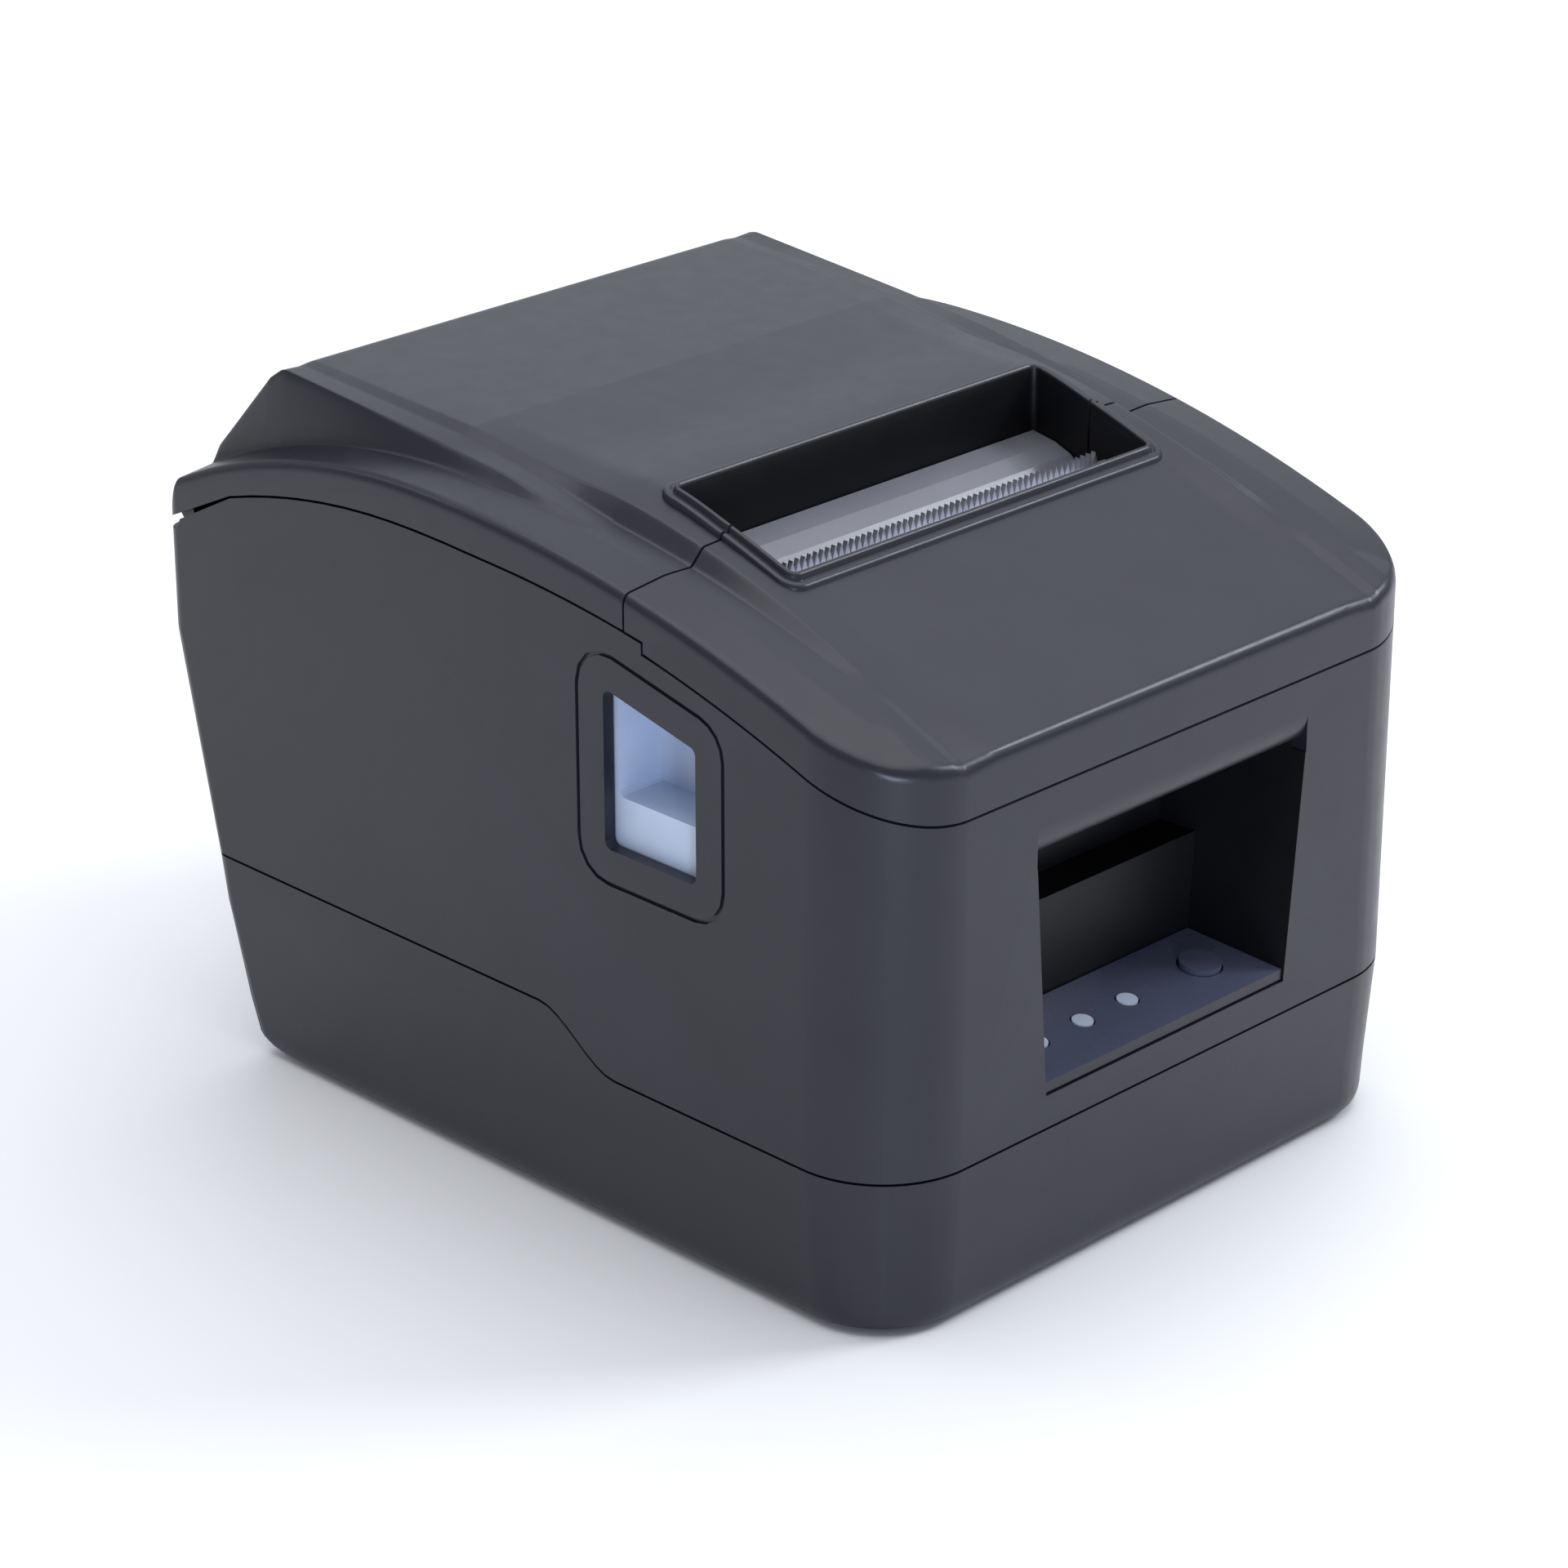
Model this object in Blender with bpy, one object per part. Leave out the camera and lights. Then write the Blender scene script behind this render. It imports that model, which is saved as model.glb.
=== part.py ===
"""Desktop receipt printer for 80 mm thermal paper, with a hinged paper lid and an automatic cutter.

Sizes are in millimetres and make() turns them into metres. X runs to the printer's right, Z up, and
s is the distance back from the front face (y = s - DEPTH / 2). The stand surface is z = 0.
"""

import math

import bmesh
import bpy
import numpy as np
from mathutils import Matrix, Vector

MM = 0.001

# Casing
WIDTH = 145.0
DEPTH = 188.0
FOOT_DROP = 1.5  # casing bottom above the stand surface
WALL = 2.5
FRONT_RADIUS = 19.5  # vertical front corners, in plan
REAR_RADIUS = 4.0
SEAM_GAP = 0.5  # parting gap between two casing shells
FIT = 0.3  # clearance between pieces that stay put
BASE_TAPER = 1.9  # how far the base draws in at its foot, each side

# Heights above the stand surface
LOWER_SEAM_FRONT = 31.2
LOWER_SEAM_REAR = 40.6
SEAM_STEP_START = 66.5  # s, where the lower seam starts to climb
SEAM_STEP_END = 86.0
UPPER_SEAM_FRONT = 96.6
UPPER_SEAM_TOP = 122.4
NOTCH_S = 58.0  # the seam steps up here, just ahead of the joint between cover and lid
NOTCH_RISE = 1.7
NOTCH_DIP = 0.4
FRONT_TOP = 107.0  # rim height at the front face
RIM_TOP = 131.3
RIM_REAR = 115.6
REAR_EDGE = 106.0  # foot of the lid's back edge
HUMP_TOP = 137.9
HUMP_FRONT = 136.0  # where the flat ramp panel meets the hump
KNEE = 83.5  # the back face leans in below this height

# Stations measured from the back face
RIM_TOP_TO_REAR = 70.0
HUMP_CREST_TO_REAR = 24.0
RAMP_END_TO_REAR = 67.0
RIM_END_TO_REAR = 3.5

# Bands of the top, measured in from the side faces
RIDGE_IN = 19.0  # edge of the centre panel
VALLEY_IN = 16.2
HUMP_IN = 11.5
HUMP_FOOT_IN = 9.5
CREST_IN = 1.7

# Lid hinge
HINGE_TO_REAR = 2.1
HINGE_Z = 106.9
BARREL_RADIUS = 2.0
BARREL_IN = 4.0  # the lid's barrel stops short of each side face
BARREL_GAP = 0.6  # between the barrel and the middle shell's edge
PIN_RADIUS = 1.0
PIN_LENGTH = 13.0
EAR_WIDTH = 3.0
EAR_X = 59.5

# Paper slot
JOINT_S = 62.5  # lid to front cover
SLOT_HALF = 46.2
SLOT_FRONT = 48.0
SLOT_REAR = 76.3
LIP = 2.5
WELL_BOTTOM = 115.0

# Front recess
RECESS_TOP_HALF = 36.0
RECESS_BOTTOM_HALF = 32.5
RECESS_BOTTOM = 40.0
RECESS_TOP = 84.0
RECESS_DEPTH = 21.0
RECESS_STEP_Z = 61.5
RECESS_UPPER_DEPTH = 29.0
PANEL_SLOPE = math.radians(7.0)
PANEL_THICK = 2.0
LED_PITCH = 12.0
LED_RADIUS = 2.0
LED_FIRST_X = -23.0
BUTTON_X = 21.0
BUTTON_RADIUS = 4.0
PANEL_ROW = 10.5  # distance of the lamps and the button from the panel's front edge

# Opening for the lid lever, in the left side
WINDOW_FRONT = 45.2
WINDOW_REAR = 67.9
WINDOW_BOTTOM = 76.3
WINDOW_TOP_FRONT = 101.5
WINDOW_TOP_REAR = 106.5
RING_MARGIN = 7.0
RING_DEPTH = 0.6
RING_WIDTH = 0.8
LEVER_RANGE = 8.5  # how far the lever's face runs past the window, for its swing
CUP_DEPTH = 10.0
CUP_FLOOR = 85.5
LATCH_S = 56.0
LATCH_Z = 52.0
SHAFT_RADIUS = 3.0

# Paper mechanism
PAPER_WIDTH = 80.0
ROLL_RADIUS = 41.5
ROLL_TO_REAR = 63.0
ROLL_Z = 77.0
BUCKET_WALL = 2.0
PLATEN_RADIUS = 5.5
PLATEN_S = 66.5
PLATEN_Z = 104.5
PLATEN_SHAFT_RADIUS = 2.5
ARM_RADIUS = 3.9  # rounded foot of the lid's arms, round the platen shaft
HEAD_GAP = 0.5
CHASSIS_HALF = 45.5
CHASSIS_SHEET = 1.5
BUSH_RADIUS = 4.0
GEAR_X = 54.0
GEAR_WIDTH = 4.0
MODULE = 0.5
PLATEN_TEETH = 16
IDLER_TEETH = 50
PINION_TEETH = 14
PINION_TURN = math.radians(235.0)  # direction from the idler to the motor pinion
BACKLASH = 0.16  # share of a tooth's width given up
CENTRE_EXTRA = 0.12
MOTOR_RADIUS = 15.0
MOTOR_LENGTH = 20.0

# Cutter
BLADE_Z = 111.8
BLADE_THICK = 1.0
BLADE_STROKE = 8.0
CUTTER_X = 0.0
CRANK_S = 34.0
CRANK_PIN_RADIUS = 1.2

# Tear bar
TEETH_S = 57.2
TEETH_TOP = 123.4
TEETH_COUNT = 55
TEETH_HALF = 41.8

# Electrics
BOARD_Z = 10.0
BOARD_THICK = 1.6
BOARD_FRONT = 26.0
BOARD_TO_REAR = 21.0
BOARD_HALF = 50.0
FOOT_RADIUS = 7.0
FOOT_SINK = 1.0
SCREW_HEAD_RADIUS = 3.2
SCREW_SHANK_RADIUS = 1.5
SCREW_IN = 15.5
SCREW_S = (30.0, 138.0)
SWITCH_TO_REAR = 33.0
SWITCH_Z = 22.0

HALF = WIDTH / 2


def y_of(s):
    return s - DEPTH / 2


# ---------------------------------------------------------------- mesh helpers

def material(name, colour, roughness, metallic=0.0):
    found = bpy.data.materials.get(name)
    if found:
        return found
    new = bpy.data.materials.new(name)
    new.use_nodes = True
    shader = new.node_tree.nodes["Principled BSDF"]
    shader.inputs["Base Color"].default_value = (*colour, 1.0)
    shader.inputs["Roughness"].default_value = roughness
    shader.inputs["Metallic"].default_value = metallic
    return new


def make(name, points, faces):
    """One mesh object from points in millimetres, triangulated and with its faces pointing out."""
    mesh = bpy.data.meshes.new(name)
    mesh.from_pydata([Vector(p) * MM for p in points], [], faces)
    work = bmesh.new()
    work.from_mesh(mesh)
    bmesh.ops.triangulate(work, faces=work.faces)
    bmesh.ops.recalc_face_normals(work, faces=work.faces)
    work.to_mesh(mesh)
    work.free()
    obj = bpy.data.objects.new(name, mesh)
    bpy.context.scene.collection.objects.link(obj)
    return obj


def prism(name, outline, axis, low, high):
    """An outline extruded along one axis. Its points are (y, z), (x, z) or (x, y) for X, Y or Z."""
    def point(a, b, c):
        return {"X": (c, a, b), "Y": (a, c, b), "Z": (a, b, c)}[axis]

    count = len(outline)
    points = [point(a, b, c) for c in (low, high) for a, b in outline]
    sides = [[i, (i + 1) % count, count + (i + 1) % count, count + i] for i in range(count)]
    return make(name, points, [list(range(count)), list(range(count, 2 * count)), *sides])


def box(name, low, high):
    outline = [(low[0], low[1]), (high[0], low[1]), (high[0], high[1]), (low[0], high[1])]
    return prism(name, outline, "Z", low[2], high[2])


def circle(centre, radius, segments, start=0.0, turn=2 * math.pi):
    """Points on a circle, or on an arc of it where turn is less than a whole turn."""
    steps = segments if turn >= 2 * math.pi else segments + 1
    angles = [start + turn * i / segments for i in range(steps)]
    return [(centre[0] + radius * math.cos(a), centre[1] + radius * math.sin(a)) for a in angles]


def rod(name, axis, centre, radius, low, high, segments=20):
    return prism(name, circle(centre, radius, segments), axis, low, high)


def apply_boolean(target, tool, operation):
    step = target.modifiers.new(operation.lower(), "BOOLEAN")
    step.operation = operation
    step.solver = "EXACT"
    step.object = tool
    bpy.context.view_layer.update()
    graph = bpy.context.evaluated_depsgraph_get()
    shaped = bpy.data.meshes.new_from_object(target.evaluated_get(graph))
    target.modifiers.clear()
    old = target.data
    target.data = shaped
    bpy.data.meshes.remove(old)
    shaped.name = target.name
    return target


def discard(tool):
    mesh = tool.data
    bpy.data.objects.remove(tool)
    bpy.data.meshes.remove(mesh)


def cut(target, *tools):
    for tool in tools:
        apply_boolean(target, tool, "DIFFERENCE")
        discard(tool)
    return target


def join(target, *tools):
    for tool in tools:
        apply_boolean(target, tool, "UNION")
        discard(tool)
    return target


def keep(target, tool):
    apply_boolean(target, tool, "INTERSECT")
    discard(tool)
    return target


def copy_of(obj, name):
    twin = bpy.data.objects.new(name, obj.data.copy())
    bpy.context.scene.collection.objects.link(twin)
    return twin


def finish(obj, surface, pivot=None, parent=None):
    """Sets the material, smooth shading and the origin, which is on the joint axis of a moving piece."""
    obj.data.materials.clear()
    obj.data.materials.append(surface)
    obj.data.shade_smooth()
    obj.data.set_sharp_from_angle(angle=math.radians(30))
    if pivot is not None:
        place = Vector(pivot) * MM
        obj.data.transform(Matrix.Translation(-place))
        obj.location = place
    if parent is not None:
        obj.parent = parent
        obj.location = obj.location - parent.location
    return obj


# ---------------------------------------------------------------- casing surfaces

def arc_height(distance, run, drop):
    """How far a circular arc has fallen at a distance from its top, if it falls by drop over run."""
    radius = (run * run + drop * drop) / (2 * drop)
    return radius - math.sqrt(max(radius * radius - distance * distance, 0.0))


def rim_height(s):
    top = DEPTH - RIM_TOP_TO_REAR
    if s < top:
        return RIM_TOP - arc_height(top - s, top, RIM_TOP - FRONT_TOP)
    end = DEPTH - RIM_END_TO_REAR
    return RIM_TOP - arc_height(s - top, end - top, RIM_TOP - RIM_REAR)


def upper_seam(s):
    """Height of the seam under the front cover and the lid, ahead of the hinge."""
    top = DEPTH - RIM_TOP_TO_REAR + 2.0
    if s < NOTCH_S:
        step = -NOTCH_DIP * s / NOTCH_S
    else:
        step = NOTCH_RISE * max(1 - (s - NOTCH_S) / 42.0, 0.0)
    if s < top:
        return UPPER_SEAM_TOP - arc_height(top - s, top, UPPER_SEAM_TOP - UPPER_SEAM_FRONT) + step
    return UPPER_SEAM_TOP - arc_height(s - top, seam_arc_end() - top, 7.2)


def seam_arc_end():
    """The seam's arc ends here, and a straight line runs on down to the back edge."""
    return DEPTH - 20.0


def lower_seam(s):
    t = min(max((s - SEAM_STEP_START) / (SEAM_STEP_END - SEAM_STEP_START), 0.0), 1.0)
    return LOWER_SEAM_FRONT + (LOWER_SEAM_REAR - LOWER_SEAM_FRONT) * t * t * (3 - 2 * t)


def through(s, stations):
    return float(np.interp(s, [a for a, _ in stations], [b for _, b in stations]))


def crease_s():
    return DEPTH - RAMP_END_TO_REAR


def crest_s():
    return DEPTH - HUMP_CREST_TO_REAR


def rear_slope(s, height):
    """Lowers a height behind the hump's crest, where its back face runs down to the rim's end."""
    start = crest_s() + 6.0
    if s <= start:
        return height - 3.5 * max((s - crest_s()) / 6.0, 0.0) ** 2
    return height - 3.5 - (s - start) * 1.08


def panel_height(s):
    """Top of the centre panel: cover panel, slot surround's foot, ramp and hump."""
    stations = [
        (0, FRONT_TOP - 0.3), (20, FRONT_TOP + 6.6), (SLOT_FRONT - 3, 123.1), (JOINT_S, 128.9),
        (SLOT_REAR, 132.6), (crease_s() - 20, HUMP_FRONT - 1.5), (crease_s(), HUMP_FRONT),
        (crest_s(), HUMP_TOP), (DEPTH, HUMP_TOP),
    ]
    return rear_slope(s, through(s, stations))


def ridge_height(s):
    stations = [
        (0, FRONT_TOP - 1.0), (20, FRONT_TOP + 6.2), (35, 119.3), (SLOT_FRONT + 2, 124.7), (JOINT_S, 128.0),
        (SLOT_REAR + 5, 131.4), (crease_s() - 20, HUMP_FRONT - 2.7), (crease_s(), HUMP_FRONT - 0.2),
        (crest_s(), HUMP_TOP), (DEPTH, HUMP_TOP),
    ]
    return rear_slope(s, through(s, stations))


def hump_tip():
    """The hump's side edge meets the rim here."""
    return crease_s() - 39.0


def hump_edge(s):
    """Side edge of the hump's top, which bends down to the rim at its tip."""
    if s < hump_tip():
        return rim_height(s) - 0.3
    line = through(s, [
        (hump_tip(), rim_height(hump_tip()) - 0.2), (crease_s() - 27, 131.2), (crease_s() - 15.5, 133.0),
        (crease_s() + 2, HUMP_FRONT - 1.4), (crest_s(), HUMP_TOP), (DEPTH, HUMP_TOP),
    ])
    return rear_slope(s, line)


def valley_height(s):
    """The line at the foot of the centre panel's side, and behind the crease the hump's own top."""
    if s < hump_tip():
        return rim_height(s) - 0.2
    outer = max(hump_edge(s), rim_height(s) - 0.3)
    share = (RIDGE_IN - VALLEY_IN) / (RIDGE_IN - HUMP_IN)
    facet = ridge_height(s) + (outer - ridge_height(s)) * share
    blend = min(max((s - hump_tip()) / (crease_s() - 3 - hump_tip()), 0.0), 1.0)
    return facet * blend ** 3 + (outer + 0.2) * (1 - blend ** 3)


def top_height(x, s):
    """Height of the casing's top at a grid line x and a distance s, before the edge is rounded."""
    reach = abs(x)
    rim = rim_height(s)
    stations = [
        (0.0, panel_height(s)),
        (SLOT_HALF, panel_height(s)),
        (HALF - RIDGE_IN, ridge_height(s)),
        (HALF - VALLEY_IN, valley_height(s)),
        (HALF - HUMP_IN, max(hump_edge(s), rim - 0.3)),
        (HALF - HUMP_FOOT_IN, rim - 0.3),
        (HALF - CREST_IN, rim - 1.1),
        (HALF, rim - 1.1),
    ]
    return through(reach, stations)


def edge_drop(distance):
    """How far the rounded top edge has fallen at a distance in from the casing's outline."""
    if distance >= CREST_IN:
        return 0.0
    fall = 2.2
    return fall * (1 - math.sqrt(1 - (1 - distance / CREST_IN) ** 2))


def x_lines():
    positive = [28.0, SLOT_HALF, HALF - RIDGE_IN, HALF - VALLEY_IN, HALF - HUMP_IN,
                HALF - HUMP_FOOT_IN, HALF - 5.5, HALF - CREST_IN, HALF - 0.5, HALF]
    return [-x for x in reversed(positive)] + [0.0] + positive


def s_lines():
    front = [0.0, 0.5, CREST_IN, 5.5, 9.5, 15.5, FRONT_RADIUS + 0.5, 30.0, 40.0, 50.0, JOINT_S, 70.0,
             SLOT_REAR + LIP + 1.5]
    rear = [crease_s() - 29, crease_s() - 16, crease_s(), crease_s() + 14, crease_s() + 29,
            crest_s(), crest_s() + 3, crest_s() + 6, DEPTH - 10.0, DEPTH - RIM_END_TO_REAR,
            DEPTH - 1.2, DEPTH]
    return front + rear


def plan_point(x, s, inset, rear):
    """Moves a point of the square grid on to the rounded plan outline, drawn in by inset."""
    side = math.copysign(1.0, x)
    core = HALF - FRONT_RADIUS
    scale = (FRONT_RADIUS - inset) / FRONT_RADIUS
    reach = abs(x)
    if reach > core:
        reach = core + (reach - core) * scale
    if s < FRONT_RADIUS:
        s = FRONT_RADIUS - (FRONT_RADIUS - s) * scale
    if s > DEPTH - FRONT_RADIUS:
        s = DEPTH - FRONT_RADIUS + (s - DEPTH + FRONT_RADIUS) * scale
    middle = DEPTH * 0.6
    if s > middle:
        s -= (DEPTH - rear) * (s - middle) / (DEPTH - middle)
    corners = [(core, FRONT_RADIUS, -1)]
    radius = max(REAR_RADIUS - inset, 0.8)
    corners.append((HALF - inset - radius, rear - inset - radius, 1))
    for centre_x, centre_s, way in corners:
        a, b = reach - centre_x, (s - centre_s) * way
        if a > 0 and b > 0:
            far, near = max(a, b), min(a, b)
            turn = math.pi / 4 * near / far
            long, short = far * math.cos(turn), far * math.sin(turn)
            a, b = (long, short) if a >= b else (short, long)
            reach, s = centre_x + a, centre_s + b * way
    return side * reach if x else 0.0, s


def body(name, inset, drop, levels):
    """The whole casing as one solid: a loft of plan outlines under the shaped top."""
    xs, ss = x_lines(), s_lines()
    columns, rows = len(xs), len(ss)

    def next_out(x):
        """The next grid line further out, so that an inner skin keeps its wall at a crease."""
        return min([abs(other) for other in xs if abs(other) > abs(x) + 0.1], default=abs(x))

    points = []
    for j, s in enumerate(ss):
        for i, x in enumerate(xs):
            px, ps = plan_point(x, s, inset, DEPTH)
            height = top_height(x, ps + inset * (ps - DEPTH / 2) / (DEPTH / 2))
            if inset:
                height = min(height, top_height(next_out(x), ps))
            edge = min(HALF - abs(x), s)
            height -= edge_drop(edge) + drop
            if s >= DEPTH - RIM_END_TO_REAR:
                share = (s - DEPTH + RIM_END_TO_REAR) / RIM_END_TO_REAR
                height = min(height, height + (REAR_EDGE - drop - height) * share ** 1.5)
            points.append((px, y_of(ps), height))
    loop = [(i, 0) for i in range(columns - 1)] + [(columns - 1, j) for j in range(rows - 1)]
    loop += [(i, rows - 1) for i in range(columns - 1, 0, -1)] + [(0, j) for j in range(rows - 1, 0, -1)]
    top_ring = [j * columns + i for i, j in loop]
    faces = [
        [j * columns + i, j * columns + i + 1, (j + 1) * columns + i + 1, (j + 1) * columns + i]
        for j in range(rows - 1) for i in range(columns - 1)
    ]
    above = top_ring
    for z, extra, rear in levels:
        start = len(points)
        for i, j in loop:
            px, ps = plan_point(xs[i], ss[j], inset + extra, rear)
            points.append((px, y_of(ps), z))
        ring = list(range(start, len(points)))
        faces += [[above[k], above[(k + 1) % len(ring)], ring[(k + 1) % len(ring)], ring[k]]
                  for k in range(len(ring))]
        above = ring
    faces.append(above)
    return make(name, points, faces)


def outer_levels():
    """(height, draw-in, back face) of the casing's plan outlines, from the top down."""
    low = FOOT_DROP
    return [
        (KNEE, 0.0, DEPTH),
        (LOWER_SEAM_REAR, 0.0, DEPTH - 9.5),
        (LOWER_SEAM_FRONT, 0.0, DEPTH - 11.2),
        (low + 9.7, BASE_TAPER * 0.75, DEPTH - 14.8),
        (low + 4.0, BASE_TAPER * 0.9, DEPTH - 16.6),
        (low + 1.2, BASE_TAPER, DEPTH - 20.5),
        (low, BASE_TAPER + 1.2, DEPTH - 25.0),
    ]


def inner_levels():
    floor = FOOT_DROP + WALL
    return [
        (KNEE, 0.0, DEPTH),
        (LOWER_SEAM_REAR, 0.0, DEPTH - 9.7),
        (LOWER_SEAM_FRONT, 0.0, DEPTH - 11.6),
        (floor + 8.0, BASE_TAPER * 0.75, DEPTH - 15.4),
        (floor, BASE_TAPER, DEPTH - 20.0),
    ]


def sweep_seam(height, first, last, steps):
    return [(y_of(first + (last - first) * i / steps), height(first + (last - first) * i / steps))
            for i in range(steps + 1)]


def hinge_point():
    return y_of(DEPTH - HINGE_TO_REAR), HINGE_Z


def seam_with_notch(first, last, offset):
    """Side view of the upper seam, moved up by offset, with its step near the joint."""
    notch = NOTCH_S - offset
    ahead = sweep_seam(upper_seam, first, NOTCH_S - 0.001, 14)
    behind = sweep_seam(upper_seam, NOTCH_S, last, 20)
    ahead[-1] = (y_of(notch), ahead[-1][1])
    behind[0] = (y_of(notch), behind[0][1])
    return [(y, z + offset) for y, z in ahead + behind]


def below_upper_seam(name):
    """Side-view region of the middle shell, under the seam and round the hinge barrel."""
    seam = seam_with_notch(0, seam_arc_end(), -SEAM_GAP / 2)
    room = BARREL_RADIUS + BARREL_GAP
    round_barrel = circle(hinge_point(), room, 5, math.pi, math.pi / 2)
    top = [(-DEPTH, seam[0][1]), *seam, *round_barrel, (DEPTH, HINGE_Z - room)]
    return prism(name, [*top, (DEPTH, 0), (-DEPTH, 0)], "X", -WIDTH, WIDTH)


def over_front_cover(name):
    """Side-view region of the front cover, above the seam and ahead of the joint."""
    end = JOINT_S - SEAM_GAP / 2
    seam = seam_with_notch(0, end, SEAM_GAP / 2)
    outline = [(-DEPTH, seam[0][1]), *seam, (y_of(end), 2 * HUMP_TOP), (-DEPTH, 2 * HUMP_TOP)]
    return prism(name, outline, "X", -WIDTH, WIDTH)


def over_lid(name):
    """Side-view region of the lid, behind the joint and above the seam."""
    start = JOINT_S + SEAM_GAP / 2
    seam = sweep_seam(upper_seam, start, seam_arc_end(), 16)
    seam = [(y, z + SEAM_GAP / 2) for y, z in seam]
    beyond = y_of(DEPTH + 3)
    outline = [*seam, (y_of(DEPTH) - 0.2, REAR_EDGE), (beyond, REAR_EDGE), (beyond, 2 * HUMP_TOP)]
    return prism(name, [*outline, (seam[0][0], 2 * HUMP_TOP)], "X", -WIDTH, WIDTH)


def lower_region(name, offset):
    """Side-view region under the lower seam, which steps up towards the back."""
    seam = sweep_seam(lower_seam, SEAM_STEP_START, SEAM_STEP_END, 8)
    seam = [(y, z + offset) for y, z in seam]
    outline = [(-DEPTH, seam[0][1]), *seam, (DEPTH, seam[-1][1]), (DEPTH, -20), (-DEPTH, -20)]
    return prism(name, outline, "X", -WIDTH, WIDTH)


# ---------------------------------------------------------------- surfaces and colours

CASE_BLACK = material("case_black", (0.035, 0.036, 0.042), 0.48)
LEVER_BLUE = material("lever_blue_grey", (0.42, 0.52, 0.64), 0.45)
PANEL_NAVY = material("panel_navy", (0.035, 0.05, 0.1), 0.35)
LENS_WHITE = material("lens_white", (0.72, 0.74, 0.8), 0.25)
GUIDE_GREY = material("guide_grey", (0.09, 0.095, 0.11), 0.35)
STEEL = material("steel_sheet", (0.55, 0.56, 0.58), 0.35, 1.0)
BRIGHT_STEEL = material("bright_steel", (0.7, 0.7, 0.72), 0.2, 1.0)
ALUMINIUM = material("aluminium", (0.6, 0.61, 0.62), 0.4, 1.0)
RUBBER = material("platen_rubber", (0.03, 0.03, 0.032), 0.7)
FOOT_RUBBER = material("foot_rubber", (0.02, 0.02, 0.02), 0.85)
GEAR_WHITE = material("gear_nylon", (0.8, 0.79, 0.74), 0.45)
BUSH_BLACK = material("bush_acetal", (0.05, 0.05, 0.05), 0.4)
BOARD_GREEN = material("board_green", (0.02, 0.13, 0.05), 0.4)
SOCKET_BLACK = material("socket_black", (0.025, 0.025, 0.028), 0.5)
SOCKET_METAL = material("socket_shell", (0.62, 0.62, 0.62), 0.3, 1.0)
MOTOR_GREY = material("motor_can", (0.3, 0.3, 0.31), 0.35, 1.0)


def slot_profile(first, last):
    """Side view of the raised lip round the slot, from its foot inside the casing to its top."""
    steps = 6
    stations = [first + (last - first) * i / steps for i in range(steps + 1)]
    top = [(y_of(s), panel_height(s) + 1.0) for s in stations]
    return [(y_of(first), WELL_BOTTOM), *top, (y_of(last), WELL_BOTTOM)]


def slot_block(name, first, last):
    outer = SLOT_HALF + LIP
    return prism(name, slot_profile(first, last), "X", -outer, outer)


def slot_cutter(first, last):
    return box("slot_cutter", (-SLOT_HALF, y_of(first), 0), (SLOT_HALF, y_of(last), 2 * HUMP_TOP))


def rounded(corners, radius, steps=4):
    """A polygon, given counter-clockwise, with each corner rounded to an arc."""
    out = []
    count = len(corners)
    for i, corner in enumerate(corners):
        here = Vector(corner)
        before = (Vector(corners[i - 1]) - here).normalized()
        after = (Vector(corners[(i + 1) % count]) - here).normalized()
        half = before.angle(after) / 2
        centre = here + (before + after).normalized() * radius / math.sin(half)
        start = here + before * radius / math.tan(half) - centre
        sweep = math.pi - 2 * half
        for k in range(steps + 1):
            a = sweep * k / steps
            turned = Vector((start.x * math.cos(a) - start.y * math.sin(a),
                             start.x * math.sin(a) + start.y * math.cos(a)))
            out.append(tuple(centre + turned))
    return out


def window_outline(margin, radius):
    """The lever's opening in the side wall, or the ring round it, as (y, z)."""
    slope = (WINDOW_TOP_REAR - WINDOW_TOP_FRONT) / (WINDOW_REAR - WINDOW_FRONT)
    front, rear = WINDOW_FRONT - margin, WINDOW_REAR + margin
    corners = [
        (y_of(front), WINDOW_BOTTOM - margin),
        (y_of(rear), WINDOW_BOTTOM - margin),
        (y_of(rear), WINDOW_TOP_REAR + margin * (1 + slope)),
        (y_of(front), WINDOW_TOP_FRONT + margin * (1 - slope)),
    ]
    return rounded(corners, radius)


def recess_half(s, z):
    """Half width of the front recess, which narrows downwards and inwards."""
    share = (z - RECESS_BOTTOM) / (RECESS_TOP - RECESS_BOTTOM)
    return RECESS_BOTTOM_HALF + (RECESS_TOP_HALF - RECESS_BOTTOM_HALF) * share - 0.14 * max(s, 0)


def panel_top(s):
    return RECESS_BOTTOM + s * math.tan(PANEL_SLOPE)


def wedge(name, front, rear, floor, roof, side_gap=0.0):
    """A block between two stations whose sides follow the recess and whose floor and roof slope."""
    points = []
    for s in (front, rear):
        for z in (floor(s), roof(s)):
            half = recess_half(s, z) - side_gap
            points += [(-half, y_of(s), z), (half, y_of(s), z)]
    faces = [[0, 1, 3, 2], [4, 6, 7, 5], [0, 4, 5, 1], [2, 3, 7, 6], [0, 2, 6, 4], [1, 5, 7, 3]]
    return make(name, points, faces)


def on_panel(x, lift):
    """A point at the lamp row, lift above the control panel's face, and the panel's normal."""
    normal = Vector((0.0, -math.sin(PANEL_SLOPE), math.cos(PANEL_SLOPE)))
    foot = Vector((x, y_of(PANEL_ROW), panel_top(PANEL_ROW)))
    return foot + normal * lift, normal


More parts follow.
